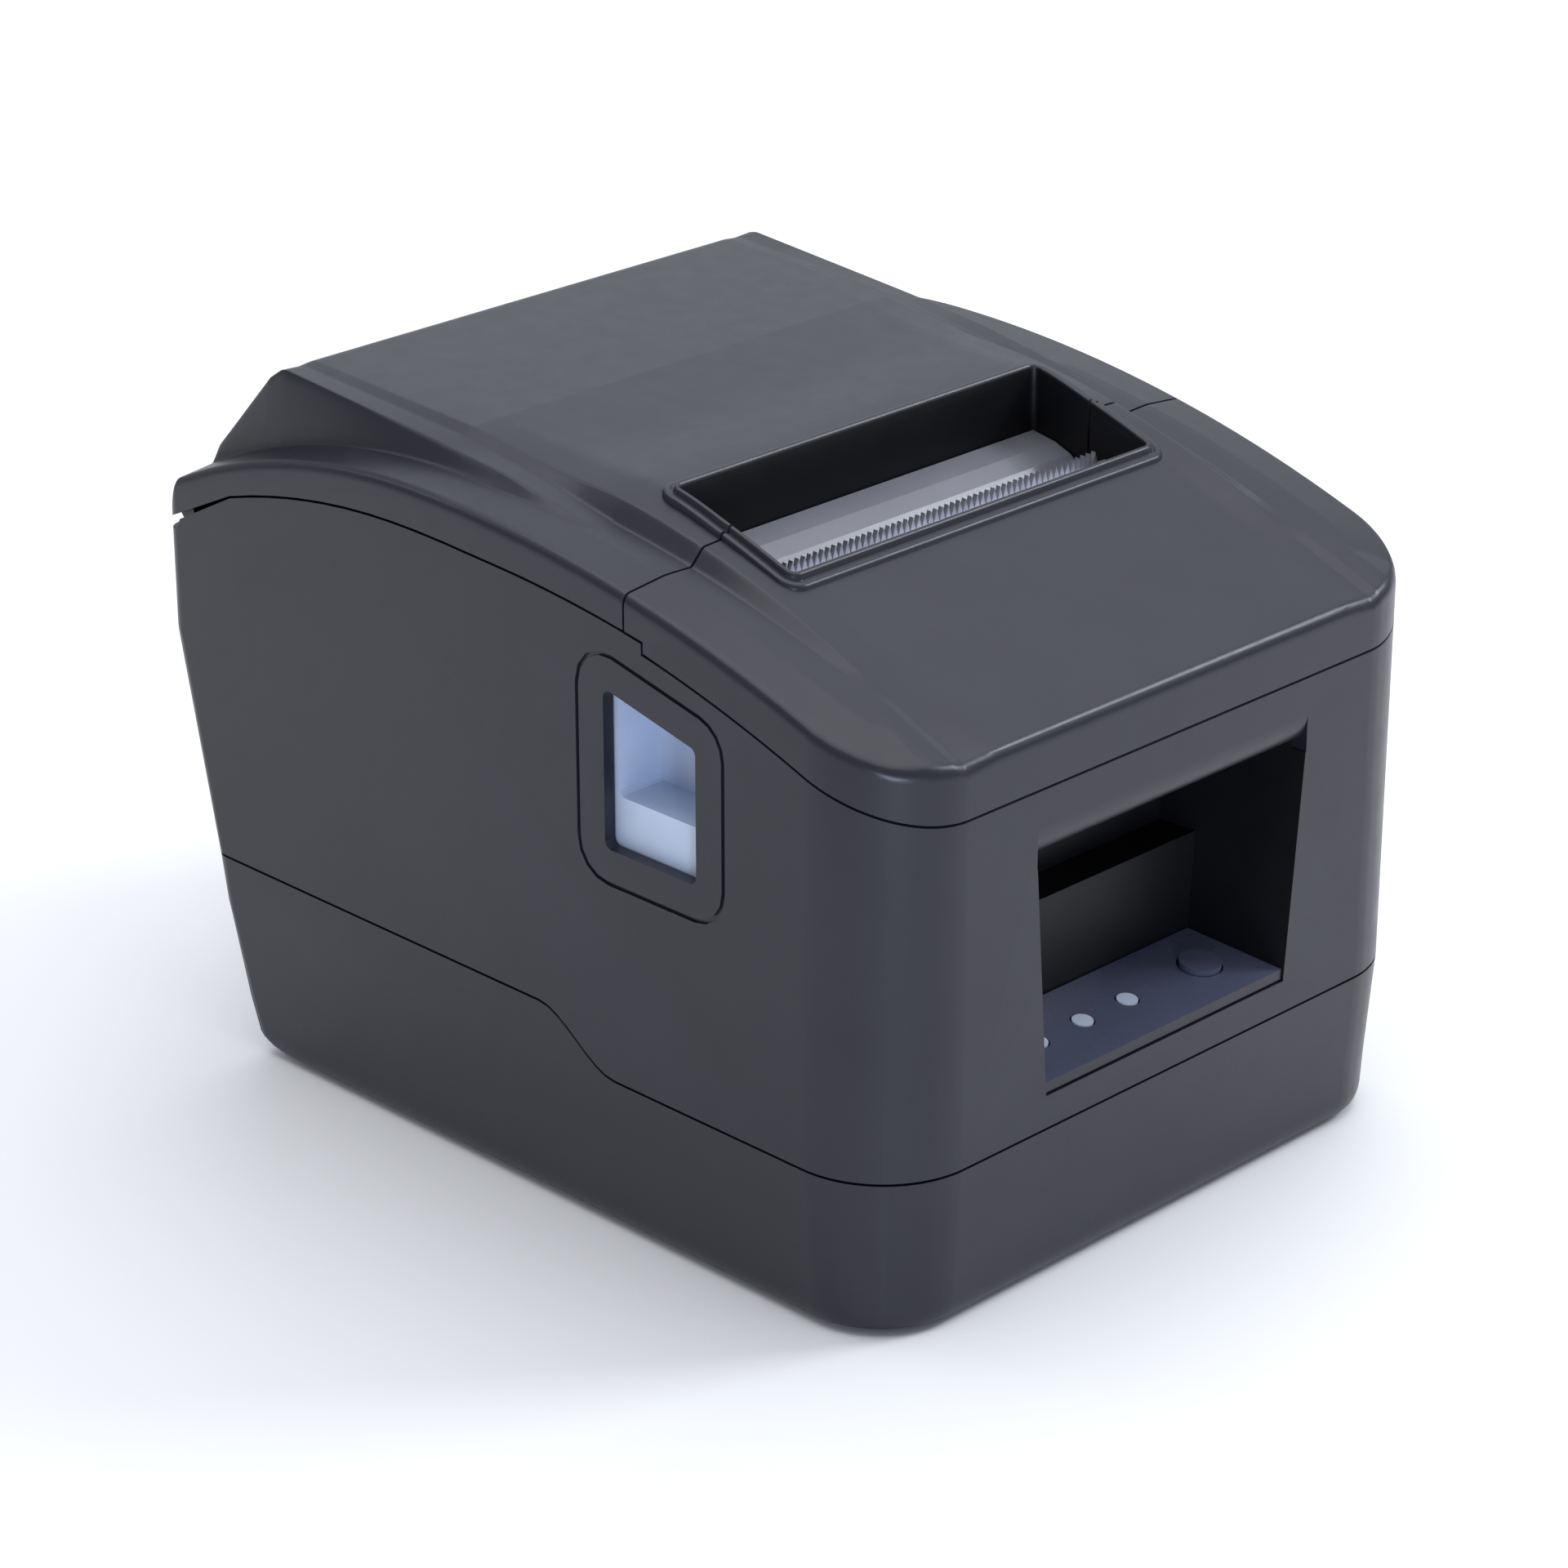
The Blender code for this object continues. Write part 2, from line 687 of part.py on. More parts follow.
def panel_rod(name, x, radius, low, high, segments=20):
    """A round piece square to the control panel, between two heights above its face."""
    centre, _ = on_panel(x, 0.0)
    piece = rod(name, "Z", (0, 0), radius, low, high, segments)
    turn = Matrix.Rotation(PANEL_SLOPE, 4, "X")
    piece.data.transform(Matrix.Translation(centre * MM) @ turn)
    return piece


def screw_places():
    return [(side * (HALF - SCREW_IN), s) for s in SCREW_S for side in (-1, 1)]


def foot_places():
    return [(side * (HALF - 26.5), s) for s in (18.0, DEPTH - 38.0) for side in (-1, 1)]


def chassis_posts():
    return [(side * (CHASSIS_HALF - 6.0), s) for s in (43.0, 71.0) for side in (-1, 1)]


# ---------------------------------------------------------------- casing

def socket_places():
    """Name, x, width, height and port size of each socket in the back of the base."""
    return [
        ("power_socket", -38.0, 12.0, 12.0, (6.5, 6.5)),
        ("usb_socket", -15.0, 12.0, 11.0, (8.4, 7.4)),
        ("network_socket", 9.0, 16.0, 13.5, (11.8, 8.0)),
        ("drawer_socket", 33.0, 13.0, 12.0, (9.6, 7.0)),
    ]


def socket_floor():
    return BOARD_Z + BOARD_THICK + FIT


def build_base(outer, inner):
    base = copy_of(outer, "base_shell")
    keep(base, lower_region("below", -SEAM_GAP / 2))
    cut(base, copy_of(inner, "cavity"))
    floor = FOOT_DROP + WALL
    for x, s in screw_places():
        top = lower_seam(s) - SEAM_GAP
        join(base, rod("post", "Z", (x, y_of(s)), 4.5, floor - 1, top, 16))
        cut(base, rod("bore", "Z", (x, y_of(s)), SCREW_SHANK_RADIUS + FIT, 0, 99, 12),
            rod("head", "Z", (x, y_of(s)), SCREW_HEAD_RADIUS + FIT, 0, FOOT_DROP + 4.0, 16))
    for x, s in chassis_posts():
        join(base, rod("post", "Z", (x, y_of(s)), 3.5, floor - 1, 36.0 - FIT, 14))
    for x, s in board_posts():
        join(base, rod("post", "Z", (x, y_of(s)), 2.6, floor - 1, BOARD_Z - FIT, 12))
    for x, s in foot_places():
        cut(base, rod("pocket", "Z", (x, y_of(s)), FOOT_RADIUS + FIT, 0, FOOT_DROP + FOOT_SINK, 24))
    for _, x, width, height, _ in socket_places():
        low = socket_floor() - FIT
        cut(base, box("port", (x - width / 2 - FIT, y_of(DEPTH - 26), low),
                      (x + width / 2 + FIT, DEPTH, low + height + 2 * FIT)))
    cut(base, switch_hole())
    return finish(base, CASE_BLACK)


def board_posts():
    return [(side * (BOARD_HALF - 12), s) for s in (BOARD_FRONT + 6, DEPTH - 34.0) for side in (-1, 1)]


def switch_hole():
    s = DEPTH - SWITCH_TO_REAR
    return box("switch_hole", (HALF - 8, y_of(s - 10.5), SWITCH_Z - 6.8),
               (HALF + 8, y_of(s + 10.5), SWITCH_Z + 6.8))


def build_middle(outer, inner):
    middle = copy_of(outer, "middle_shell")
    cut(middle, lower_region("below", SEAM_GAP / 2))
    keep(middle, below_upper_seam("under"))
    cut(middle, copy_of(inner, "cavity"))
    side = RECESS_TOP_HALF + 2.0
    join(middle, box("recess_box", (-side, y_of(WALL - 1), RECESS_BOTTOM - 5.0),
                     (side, y_of(RECESS_UPPER_DEPTH + 2), RECESS_TOP + 4.5)))
    cut(middle,
        wedge("lower", -1, RECESS_DEPTH, lambda s: panel_top(s) - PANEL_THICK - FIT,
              lambda s: RECESS_STEP_Z + 1),
        wedge("upper", -1, RECESS_UPPER_DEPTH, lambda s: RECESS_STEP_Z, lambda s: RECESS_TOP))
    lip = RECESS_TOP + 6.5
    rolled = [(y_of(lip_s), lip_z) for lip_s, lip_z in (
        (-1.0, lip), (0.0, lip), (0.4, lip - 2.2), (1.3, lip - 4.4), (3.0, RECESS_TOP),
        (3.0, RECESS_TOP - 2), (-1.0, RECESS_TOP - 2))]
    half = recess_half(3.0, RECESS_TOP)
    cut(middle, prism("rolled_lip", rolled, "X", -half, half))
    for x in [LED_FIRST_X + i * LED_PITCH for i in range(3)]:
        cut(middle, panel_rod("lamp_hole", x, LED_RADIUS + 2 * FIT, -12, 0, 16))
    cut(middle, panel_rod("button_hole", BUTTON_X, BUTTON_RADIUS + FIT, -12, 0, 20))
    cut(middle, prism("window", window_outline(0.0, 1.5), "X", -HALF - 1, -HALF + WALL + 2))
    ring = prism("ring", window_outline(RING_MARGIN, 7.5), "X", -HALF - 1, -HALF + RING_DEPTH)
    island = prism("island", window_outline(RING_MARGIN - RING_WIDTH, 6.8), "X", -HALF - 2, HALF)
    cut(middle, cut(ring, island))
    for x, s in screw_places():
        low = lower_seam(s) + SEAM_GAP
        towards = math.copysign(HALF - WALL + 0.8, x)
        join(middle, box("rib", (min(x, towards), y_of(s - 1.5), low),
                         (max(x, towards), y_of(s + 1.5), low + 16)))
        join(middle, rod("boss", "Z", (x, y_of(s)), 4.5, low, low + 18, 16))
        cut(middle, rod("bore", "Z", (x, y_of(s)), SCREW_SHANK_RADIUS + FIT, low - 5, low + 15, 12))
    y, z = hinge_point()
    for ear_x in (-EAR_X, EAR_X):
        low, high = ear_x - EAR_WIDTH / 2, ear_x + EAR_WIDTH / 2
        foot = [(y - BARREL_RADIUS, z), (y - BARREL_RADIUS, z - 8), (y, z - 12), (y + 1.2, z - 12),
                (y + 1.2, z - 4), (y + BARREL_RADIUS, z - 2), (y + BARREL_RADIUS, z)]
        join(middle, join(prism("ear", foot, "X", low, high),
                          rod("eye", "X", (y, z), BARREL_RADIUS, low, high)))
    cut(middle, rod("pin_bore", "X", (y, z), PIN_RADIUS + 0.1, -EAR_X - 4, -EAR_X + 4, 12),
        rod("pin_bore", "X", (y, z), PIN_RADIUS + 0.1, EAR_X - 4, EAR_X + 4, 12))
    return finish(middle, CASE_BLACK)


def build_front_cover(outer, inner):
    end = JOINT_S - SEAM_GAP / 2
    cover = copy_of(outer, "front_cover")
    keep(cover, over_front_cover("over"))
    cut(cover, copy_of(inner, "cavity"))
    join(cover, slot_block("surround", SLOT_FRONT - LIP, end))
    cut(cover, slot_cutter(SLOT_FRONT, JOINT_S + 1))
    return finish(cover, CASE_BLACK)


def build_lid(outer, inner):
    start = JOINT_S + SEAM_GAP / 2
    y, z = hinge_point()
    lid = copy_of(outer, "paper_lid")
    keep(lid, over_lid("over"))
    cut(lid, copy_of(inner, "cavity"))
    join(lid, rod("barrel", "X", (y, z), BARREL_RADIUS, -HALF + BARREL_IN, HALF - BARREL_IN, 16))
    join(lid, slot_block("surround", start, SLOT_REAR + LIP))
    cut(lid, slot_cutter(JOINT_S - 1, SLOT_REAR))
    arm = [(y_of(JOINT_S + 1.2), WELL_BOTTOM + 1),
           *circle((y_of(PLATEN_S), PLATEN_Z), ARM_RADIUS, 6, math.pi, math.pi),
           (y_of(SLOT_REAR + LIP), WELL_BOTTOM + 1)]
    for side in (-1, 1):
        low, high = sorted((side * (SLOT_HALF + 0.2), side * (SLOT_HALF + LIP)))
        join(lid, prism("arm", arm, "X", low, high))
    cut(lid, rod("shaft_bore", "X", (y_of(PLATEN_S), PLATEN_Z), PLATEN_SHAFT_RADIUS + FIT, -60, 60, 16))
    for ear_x in (-EAR_X, EAR_X):
        low, high = ear_x - EAR_WIDTH / 2 - 0.5, ear_x + EAR_WIDTH / 2 + 0.5
        gap = BARREL_RADIUS + 0.4
        cut(lid, box("ear_slot", (low, y - gap, z - 9), (high, y + 9, z + gap)))
        reach = PIN_LENGTH / 2 + 0.5
        cut(lid, rod("pin_bore", "X", (y, z), PIN_RADIUS + 0.1, ear_x - reach, ear_x + reach, 12))
    return finish(lid, CASE_BLACK, pivot=(0, y, z))


def build_hinge_pins():
    y, z = hinge_point()
    for name, x in (("hinge_pin_left", -EAR_X), ("hinge_pin_right", EAR_X)):
        pin = rod(name, "X", (y, z), PIN_RADIUS, x - PIN_LENGTH / 2, x + PIN_LENGTH / 2, 12)
        finish(pin, BRIGHT_STEEL)


def build_feet_and_screws():
    for number, (x, s) in enumerate(foot_places(), 1):
        foot = rod(f"rubber_foot_{number}", "Z", (x, y_of(s)), FOOT_RADIUS, 0,
                   FOOT_DROP + FOOT_SINK - FIT, 24)
        finish(foot, FOOT_RUBBER)
    for number, (x, s) in enumerate(screw_places(), 1):
        low = FOOT_DROP + 1.0
        screw = rod(f"case_screw_{number}", "Z", (x, y_of(s)), SCREW_HEAD_RADIUS, low, low + 2.6, 16)
        shank = rod("shank", "Z", (x, y_of(s)), SCREW_SHANK_RADIUS, low + 2, lower_seam(s) + 12, 12)
        cross = [box("slot", (x - 1.8, y_of(s) - 0.35, 0), (x + 1.8, y_of(s) + 0.35, low + 1.2)),
                 box("slot", (x - 0.35, y_of(s) - 1.8, 0), (x + 0.35, y_of(s) + 1.8, low + 1.2))]
        finish(cut(join(screw, shank), *cross), STEEL)


# ---------------------------------------------------------------- controls

def build_panel():
    panel = wedge("control_panel", 0.4, RECESS_DEPTH - FIT, lambda s: panel_top(s) - PANEL_THICK,
                  panel_top, FIT)
    for number in range(3):
        x = LED_FIRST_X + number * LED_PITCH
        cut(panel, panel_rod("hole", x, LED_RADIUS + FIT, -5, 5, 20))
        finish(panel_rod(f"status_lamp_{number + 1}", x, LED_RADIUS, -4.0, 0.15, 20), LENS_WHITE)
    cut(panel, panel_rod("hole", BUTTON_X, BUTTON_RADIUS + FIT, -5, 5, 28))
    finish(panel, PANEL_NAVY)
    button = panel_rod("feed_button", BUTTON_X, BUTTON_RADIUS, -3.2, 1.0, 28)
    centre, _ = on_panel(BUTTON_X, 0.0)
    finish(button, PANEL_NAVY, pivot=centre)


def build_switch():
    s = DEPTH - SWITCH_TO_REAR
    face = HALF - 1.4
    frame = box("power_switch_frame", (HALF - 16, y_of(s - 9.4), SWITCH_Z - 6.2),
                (face, y_of(s + 9.4), SWITCH_Z + 6.2))
    cut(frame, box("pocket", (HALF - 12, y_of(s - 8.2), SWITCH_Z - 5), (HALF, y_of(s + 8.2), SWITCH_Z + 5)))
    finish(frame, SOCKET_BLACK)
    pivot_x = HALF - 6.0
    tilt = math.radians(6)
    profile = [(0, 1.2), (1.5, 7.0), (3.8, 7.2), (3.2, 0), (3.8, -7.2), (1.5, -7.0), (0, -1.2), (-2.4, 0)]
    turned = [(pivot_x + a * math.cos(tilt) - b * math.sin(tilt),
               y_of(s) + a * math.sin(tilt) + b * math.cos(tilt)) for a, b in profile]
    rocker = prism("power_rocker", turned, "Z", SWITCH_Z - 4.7, SWITCH_Z + 4.7)
    finish(rocker, SOCKET_BLACK, pivot=(pivot_x, y_of(s), SWITCH_Z))


def latch_point():
    return y_of(LATCH_S), LATCH_Z


def build_latch():
    y, z = latch_point()
    outside = -HALF + WALL + FIT
    inside = outside + CUP_DEPTH + 1.5
    pivot = (0, y, z)
    low = WINDOW_BOTTOM - 2.5
    face = [(y_of(WINDOW_FRONT - 1.2), low), (y_of(WINDOW_REAR + 2.0), low),
            (y_of(WINDOW_REAR + LEVER_RANGE), WINDOW_TOP_REAR - 3),
            (y_of(WINDOW_REAR + LEVER_RANGE), WINDOW_TOP_REAR + 1.5),
            (y_of(WINDOW_FRONT - 1.2), WINDOW_TOP_REAR + 1.5)]
    lever = prism("open_lever", face, "X", outside, inside)
    cup = rounded([(y_of(WINDOW_FRONT + 0.6), CUP_FLOOR), (y_of(WINDOW_REAR - 0.9), CUP_FLOOR),
                   (y_of(WINDOW_REAR - 0.9), WINDOW_TOP_REAR),
                   (y_of(WINDOW_FRONT + 0.6), WINDOW_TOP_REAR)], 1.2, 3)
    cut(lever, prism("cup", cup, "X", outside - 1, outside + CUP_DEPTH))
    arm = [(y - 6, z), *circle((y, z), 6.0, 8, math.pi, math.pi), (y + 6, z), (y + 4, low + 1),
           (y - 4, low + 1)]
    middle_x = (outside + inside) / 2
    join(lever, prism("arm", arm, "X", middle_x - 2, middle_x + 2))
    bore = SHAFT_RADIUS + FIT
    cut(lever, rod("bore", "X", (y, z), bore, -HALF, HALF, 16))
    finish(lever, LEVER_BLUE, pivot=pivot)
    shaft = rod("latch_shaft", "X", (y, z), SHAFT_RADIUS, middle_x - 4, 53.5, 16)
    finish(shaft, STEEL, pivot=pivot, parent=lever)
    front = 44.0
    hook = [(y + 5.5, z + 2), (y_of(front + 6), z + 15), (y_of(front + 6), PLATEN_Z - 6),
            (y_of(front + 10), PLATEN_Z - 1),
            (y_of(PLATEN_S - 5), PLATEN_Z + 3), (y_of(PLATEN_S - 5), PLATEN_Z + 5.5),
            (y_of(front + 6), PLATEN_Z + 4.5),
            (y_of(front), PLATEN_Z - 4), (y_of(front), z + 14), (y - 5.5, z + 1)]
    for name, side in (("latch_hook_left", -1), ("latch_hook_right", 1)):
        inner_x, outer_x = side * (SLOT_HALF + LIP + 1.2), side * (SLOT_HALF + LIP + 2.8)
        piece = prism(name, hook, "X", min(inner_x, outer_x), max(inner_x, outer_x))
        join(piece, rod("hub", "X", (y, z), 6.0, min(inner_x, outer_x), max(inner_x, outer_x), 20))
        cut(piece, rod("bore", "X", (y, z), bore, -HALF, HALF, 16))
        finish(piece, STEEL, pivot=pivot, parent=lever)
    return lever


def helix_points(start, axis, radius, length, turns, steps=12):
    """Points of a coil about an axis ("Y" or "X") from a start point."""
    points = []
    for k in range(turns * steps + 1):
        a = 2 * math.pi * k / steps
        along = length * k / (turns * steps)
        off = (radius * math.cos(a), radius * math.sin(a))
        if axis == "Y":
            points.append(Vector((start[0] + off[0], start[1] + along, start[2] + off[1])))
        else:
            points.append(Vector((start[0] + along, start[1] + off[0], start[2] + off[1])))
    return points


def wire(name, points, radius, surface):
    """A round wire along the given points."""
    curve = bpy.data.curves.new(name, "CURVE")
    curve.dimensions = "3D"
    curve.bevel_depth = radius * MM
    curve.bevel_resolution = 1
    curve.use_fill_caps = True
    spline = curve.splines.new("POLY")
    spline.points.add(len(points) - 1)
    for target, point in zip(spline.points, points):
        target.co = (*(point * MM), 1.0)
    obj = bpy.data.objects.new(name, curve)
    bpy.context.scene.collection.objects.link(obj)
    curve.materials.append(surface)
    return obj


# ---------------------------------------------------------------- paper mechanism

def gear_outline(teeth, centre, turn):
    """Involute gear outline, thinned for backlash. A tooth points along turn."""
    pitch = MODULE * teeth / 2
    base = pitch * math.cos(math.radians(20))
    root, tip = pitch - 1.15 * MODULE, pitch + 0.9 * MODULE

    def involute(radius):
        a = math.acos(min(base / max(radius, base), 1.0))
        return math.tan(a) - a

    half = math.pi / (2 * teeth) * (1 - BACKLASH)
    flank = [max(root, base), pitch, tip]
    outline = []
    for k in range(teeth):
        middle = turn + 2 * math.pi * k / teeth
        widths = [(r, half + involute(pitch) - involute(r)) for r in flank]
        side = [(root, widths[0][1])] + widths if root < base else widths
        for r, w in side:
            outline.append((centre[0] + r * math.cos(middle - w), centre[1] + r * math.sin(middle - w)))
        for r, w in reversed(side):
            outline.append((centre[0] + r * math.cos(middle + w), centre[1] + r * math.sin(middle + w)))
    return outline


def gear(name, teeth, centre, turn, bore):
    low, high = GEAR_X - GEAR_WIDTH / 2, GEAR_X + GEAR_WIDTH / 2
    piece = prism(name, gear_outline(teeth, centre, turn), "X", low, high)
    return cut(piece, rod("bore", "X", centre, bore, low - 1, high + 1, 16))


def platen_centre():
    return y_of(PLATEN_S), PLATEN_Z


def idler_centre():
    y, z = platen_centre()
    return y, z - MODULE * (PLATEN_TEETH + IDLER_TEETH) / 2 - CENTRE_EXTRA


def pinion_centre():
    y, z = idler_centre()
    reach = MODULE * (IDLER_TEETH + PINION_TEETH) / 2 + CENTRE_EXTRA
    return y + reach * math.cos(PINION_TURN), z + reach * math.sin(PINION_TURN)


def build_gears(lid):
    """The feed train: platen gear on the lid, idler and motor pinion on the chassis."""
    down = -math.pi / 2
    platen, idler, pinion = platen_centre(), idler_centre(), pinion_centre()
    piece = gear("platen_gear", PLATEN_TEETH, platen, down, PLATEN_SHAFT_RADIUS + 0.1)
    finish(piece, GEAR_WHITE, pivot=(0, *platen), parent=lid)
    # A tooth of the platen gear points straight down, so a gap of the idler faces it.
    idler_turn = math.pi / 2 + math.pi / IDLER_TEETH
    piece = gear("idler_gear", IDLER_TEETH, idler, idler_turn, 2.0 + 0.1)
    finish(piece, GEAR_WHITE, pivot=(0, *idler))
    # The pinion has a gap where the idler has a tooth on the line between their centres, or the reverse.
    steps = (PINION_TURN - idler_turn) / (2 * math.pi / IDLER_TEETH)
    offset = (steps - math.floor(steps)) * 2 * math.pi / PINION_TEETH
    pinion_turn = PINION_TURN + math.pi + math.pi / PINION_TEETH + offset
    piece = gear("motor_pinion", PINION_TEETH, pinion, pinion_turn, 1.5 + 0.1)
    finish(piece, BRIGHT_STEEL, pivot=(0, *pinion))


def build_platen(lid):
    y, z = platen_centre()
    pivot = (0, y, z)
    shaft = rod("platen_shaft", "X", (y, z), PLATEN_SHAFT_RADIUS, -SLOT_HALF - LIP - 4.0,
                GEAR_X + GEAR_WIDTH / 2 + 1, 20)
    finish(shaft, BRIGHT_STEEL, pivot=pivot, parent=lid)
    half = PAPER_WIDTH / 2 + 1.0
    roller = rod("platen_roller", "X", (y, z), PLATEN_RADIUS, -half, half, 32)
    cut(roller, rod("bore", "X", (y, z), PLATEN_SHAFT_RADIUS + FIT, -half - 1, half + 1, 16))
    finish(roller, RUBBER, pivot=pivot, parent=lid)
    for name, side in (("platen_bush_left", -1), ("platen_bush_right", 1)):
        low, high = sorted((side * (half + 1.6), side * SLOT_HALF))
        bush = rod(name, "X", (y, z), BUSH_RADIUS, low, high, 24)
        cut(bush, rod("bore", "X", (y, z), PLATEN_SHAFT_RADIUS + 0.1, -60, 60, 20))
        finish(bush, BUSH_BLACK, pivot=(0, y, z), parent=lid)


def build_chassis():
    """Sheet steel frame that carries the print head, the motor and the latch shaft."""
    front, rear, low, top = 38.0, 76.0, 36.0, 109.0
    y, z = platen_centre()
    notch = BUSH_RADIUS + 0.45
    side = [(y_of(front), low), (y_of(rear), low), (y_of(rear), top), (y + notch, top), (y + notch, z),
            *circle((y, z), notch, 8, 0, -math.pi), (y - notch, top), (y_of(front), top)]
    inner = CHASSIS_HALF - CHASSIS_SHEET
    chassis = prism("chassis", side, "X", inner, CHASSIS_HALF)
    join(chassis, box("floor", (-inner - 1, y_of(front), low),
                      (inner + 1, y_of(rear), low + CHASSIS_SHEET)),
         prism("other_side", side, "X", -CHASSIS_HALF, -inner))
    join(chassis, box("front", (-inner - 1, y_of(front), MOTOR_RADIUS + 40),
                      (inner + 1, y_of(front) + CHASSIS_SHEET, top)))
    y, z = latch_point()
    cut(chassis, box("cutter_motor_gap", (-12, y_of(front) - 1, 88), (12, y_of(front) + 3, top + 1)),
        rod("latch_bore", "X", (y, z), SHAFT_RADIUS + 0.3, -60, 60, 16),
        rod("motor_bore", "X", pinion_centre(), 3.0, inner - 1, 60, 16),
        rod("axle_bore", "X", idler_centre(), 2.0 + FIT, inner - 1, 60, 16),
        box("cable_gap", (-31, y_of(43), low - 1), (-9, y_of(48), low + 3)))
    finish(chassis, STEEL)
    axle = rod("idler_axle", "X", idler_centre(), 2.0, inner, GEAR_X + GEAR_WIDTH / 2 + 1.2, 16)
    finish(axle, BRIGHT_STEEL)


def build_feed_motor():
    y, z = pinion_centre()
    end = CHASSIS_HALF - CHASSIS_SHEET - FIT
    motor = rod("feed_motor", "X", (y, z), MOTOR_RADIUS, end - MOTOR_LENGTH, end, 32)
    join(motor, rod("collar", "X", (y, z), 2.6, end - 1, end + CHASSIS_SHEET, 16))
    finish(motor, MOTOR_GREY)
    shaft = rod("motor_shaft", "X", (y, z), 1.5, end + CHASSIS_SHEET + FIT,
                GEAR_X + GEAR_WIDTH / 2 + 0.8, 14)
    finish(shaft, BRIGHT_STEEL, pivot=(0, y, z))


def build_print_head():
    face = PLATEN_S - PLATEN_RADIUS - HEAD_GAP
    half = PAPER_WIDTH / 2 + 2.0
    head = box("thermal_head", (-half, y_of(face - 3.0), PLATEN_Z - 12), (half, y_of(face), PLATEN_Z + 4))
    finish(head, GUIDE_GREY)
    back = face - 3.0 - FIT
    depth, fin = 7.0, 4.5
    outline = [(y_of(back), PLATEN_Z - 11), (y_of(back), PLATEN_Z + 3)]
    count = 4
    pitch = 14.0 / (2 * count - 1)
    for k in range(count):
        high = PLATEN_Z + 3 - 2 * k * pitch
        outline += [(y_of(back - depth), high), (y_of(back - depth), high - pitch)]
        if k < count - 1:
            outline += [(y_of(back - depth + fin), high - pitch),
                        (y_of(back - depth + fin), high - 2 * pitch)]
    finish(prism("head_heatsink", outline, "X", -half, half), ALUMINIUM)
    front_face = 38.0 + CHASSIS_SHEET + 1.0
    for name, x in (("head_spring_left", -26.0), ("head_spring_right", 26.0)):
        length = back - depth - front_face - 1.2
        wire(name, helix_points((x, y_of(front_face), PLATEN_Z - 4), "Y", 3.0, length, 4), 0.4,
             BRIGHT_STEEL)
    cable = [(y_of(back - 1.2), PLATEN_Z - 11.4), (y_of(back - 1.2), PLATEN_Z - 13),
             (y_of(45.7), PLATEN_Z - 24),
             (y_of(45.7), BOARD_Z + BOARD_THICK + FIT), (y_of(45.2), BOARD_Z + BOARD_THICK + FIT),
             (y_of(45.2), PLATEN_Z - 23.6), (y_of(back - 1.7), PLATEN_Z - 12.6),
             (y_of(back - 1.7), PLATEN_Z - 11.4)]
    finish(prism("head_cable", cable, "X", -28, -12), LENS_WHITE)


def build_cutter(lid):
    frame_z = BLADE_Z - 1.8
    half = CHASSIS_HALF
    frame = box("cutter_frame", (-half, y_of(27), frame_z), (half, y_of(56), frame_z + 1.2))
    join(frame, box("rail", (-half, y_of(42), frame_z), (-half + 1.5, y_of(56),
                                                         BLADE_Z + BLADE_THICK + 0.4)),
         box("rail", (half - 1.5, y_of(42), frame_z), (half, y_of(56), BLADE_Z + BLADE_THICK + 0.4)))
    cut(frame, box("gap", (CUTTER_X - 7, y_of(CRANK_S - 7.5), 0), (CUTTER_X + 7, y_of(CRANK_S + 7.5), 200)))
    finish(frame, STEEL)
    tip = PLATEN_S - PLATEN_RADIUS - 2.5
    outline = [(-43, y_of(44)), (-9, y_of(44)), (-9, y_of(CRANK_S - 6.5)), (9, y_of(CRANK_S - 6.5)),
               (9, y_of(44)),
               (43, y_of(44)), (43, y_of(tip)), (36, y_of(tip)), (0, y_of(tip - 4.5)), (-36, y_of(tip)),
               (-43, y_of(tip))]
    blade = prism("cutter_blade", outline, "Z", BLADE_Z, BLADE_Z + BLADE_THICK)
    pin_s = CRANK_S - BLADE_STROKE / 2
    slack = CRANK_PIN_RADIUS + 0.95
    cut(blade, box("crank_slot", (CUTTER_X - 6.4, y_of(pin_s - slack), 0),
                   (CUTTER_X + 6.4, y_of(pin_s + slack), 200)))
    finish(blade, BRIGHT_STEEL, pivot=(0, y_of(CRANK_S), BLADE_Z))
    centre = (CUTTER_X, y_of(CRANK_S))
    crank = rod("cutter_crank", "Z", centre, 6.5, frame_z - 4.0, frame_z - 1.2, 24)
    join(crank, rod("pin", "Z", (CUTTER_X, y_of(pin_s)), CRANK_PIN_RADIUS, frame_z - 2,
                    BLADE_Z + BLADE_THICK, 12))
    cut(crank, rod("bore", "Z", centre, 1.0 + 0.1, 0, frame_z - 2.0, 12))
    finish(crank, GEAR_WHITE, pivot=(*centre, frame_z - 4.0))
    motor = rod("cutter_motor", "Z", centre, 8.0, RECESS_TOP + 5.0, frame_z - 5.0, 24)
    join(motor, rod("shaft", "Z", centre, 1.0, frame_z - 6.0, frame_z - 2.4, 12))
    finish(motor, MOTOR_GREY)
    edge = PLATEN_S - PLATEN_RADIUS + 0.6
    fixed = box("counter_blade", (-SLOT_HALF + 0.4, y_of(edge), BLADE_Z + BLADE_THICK + 0.4),
                (SLOT_HALF - 0.4, y_of(edge + 9), BLADE_Z + BLADE_THICK + 1.4))
    finish(fixed, BRIGHT_STEEL, parent=lid, pivot=(0, *hinge_point()))


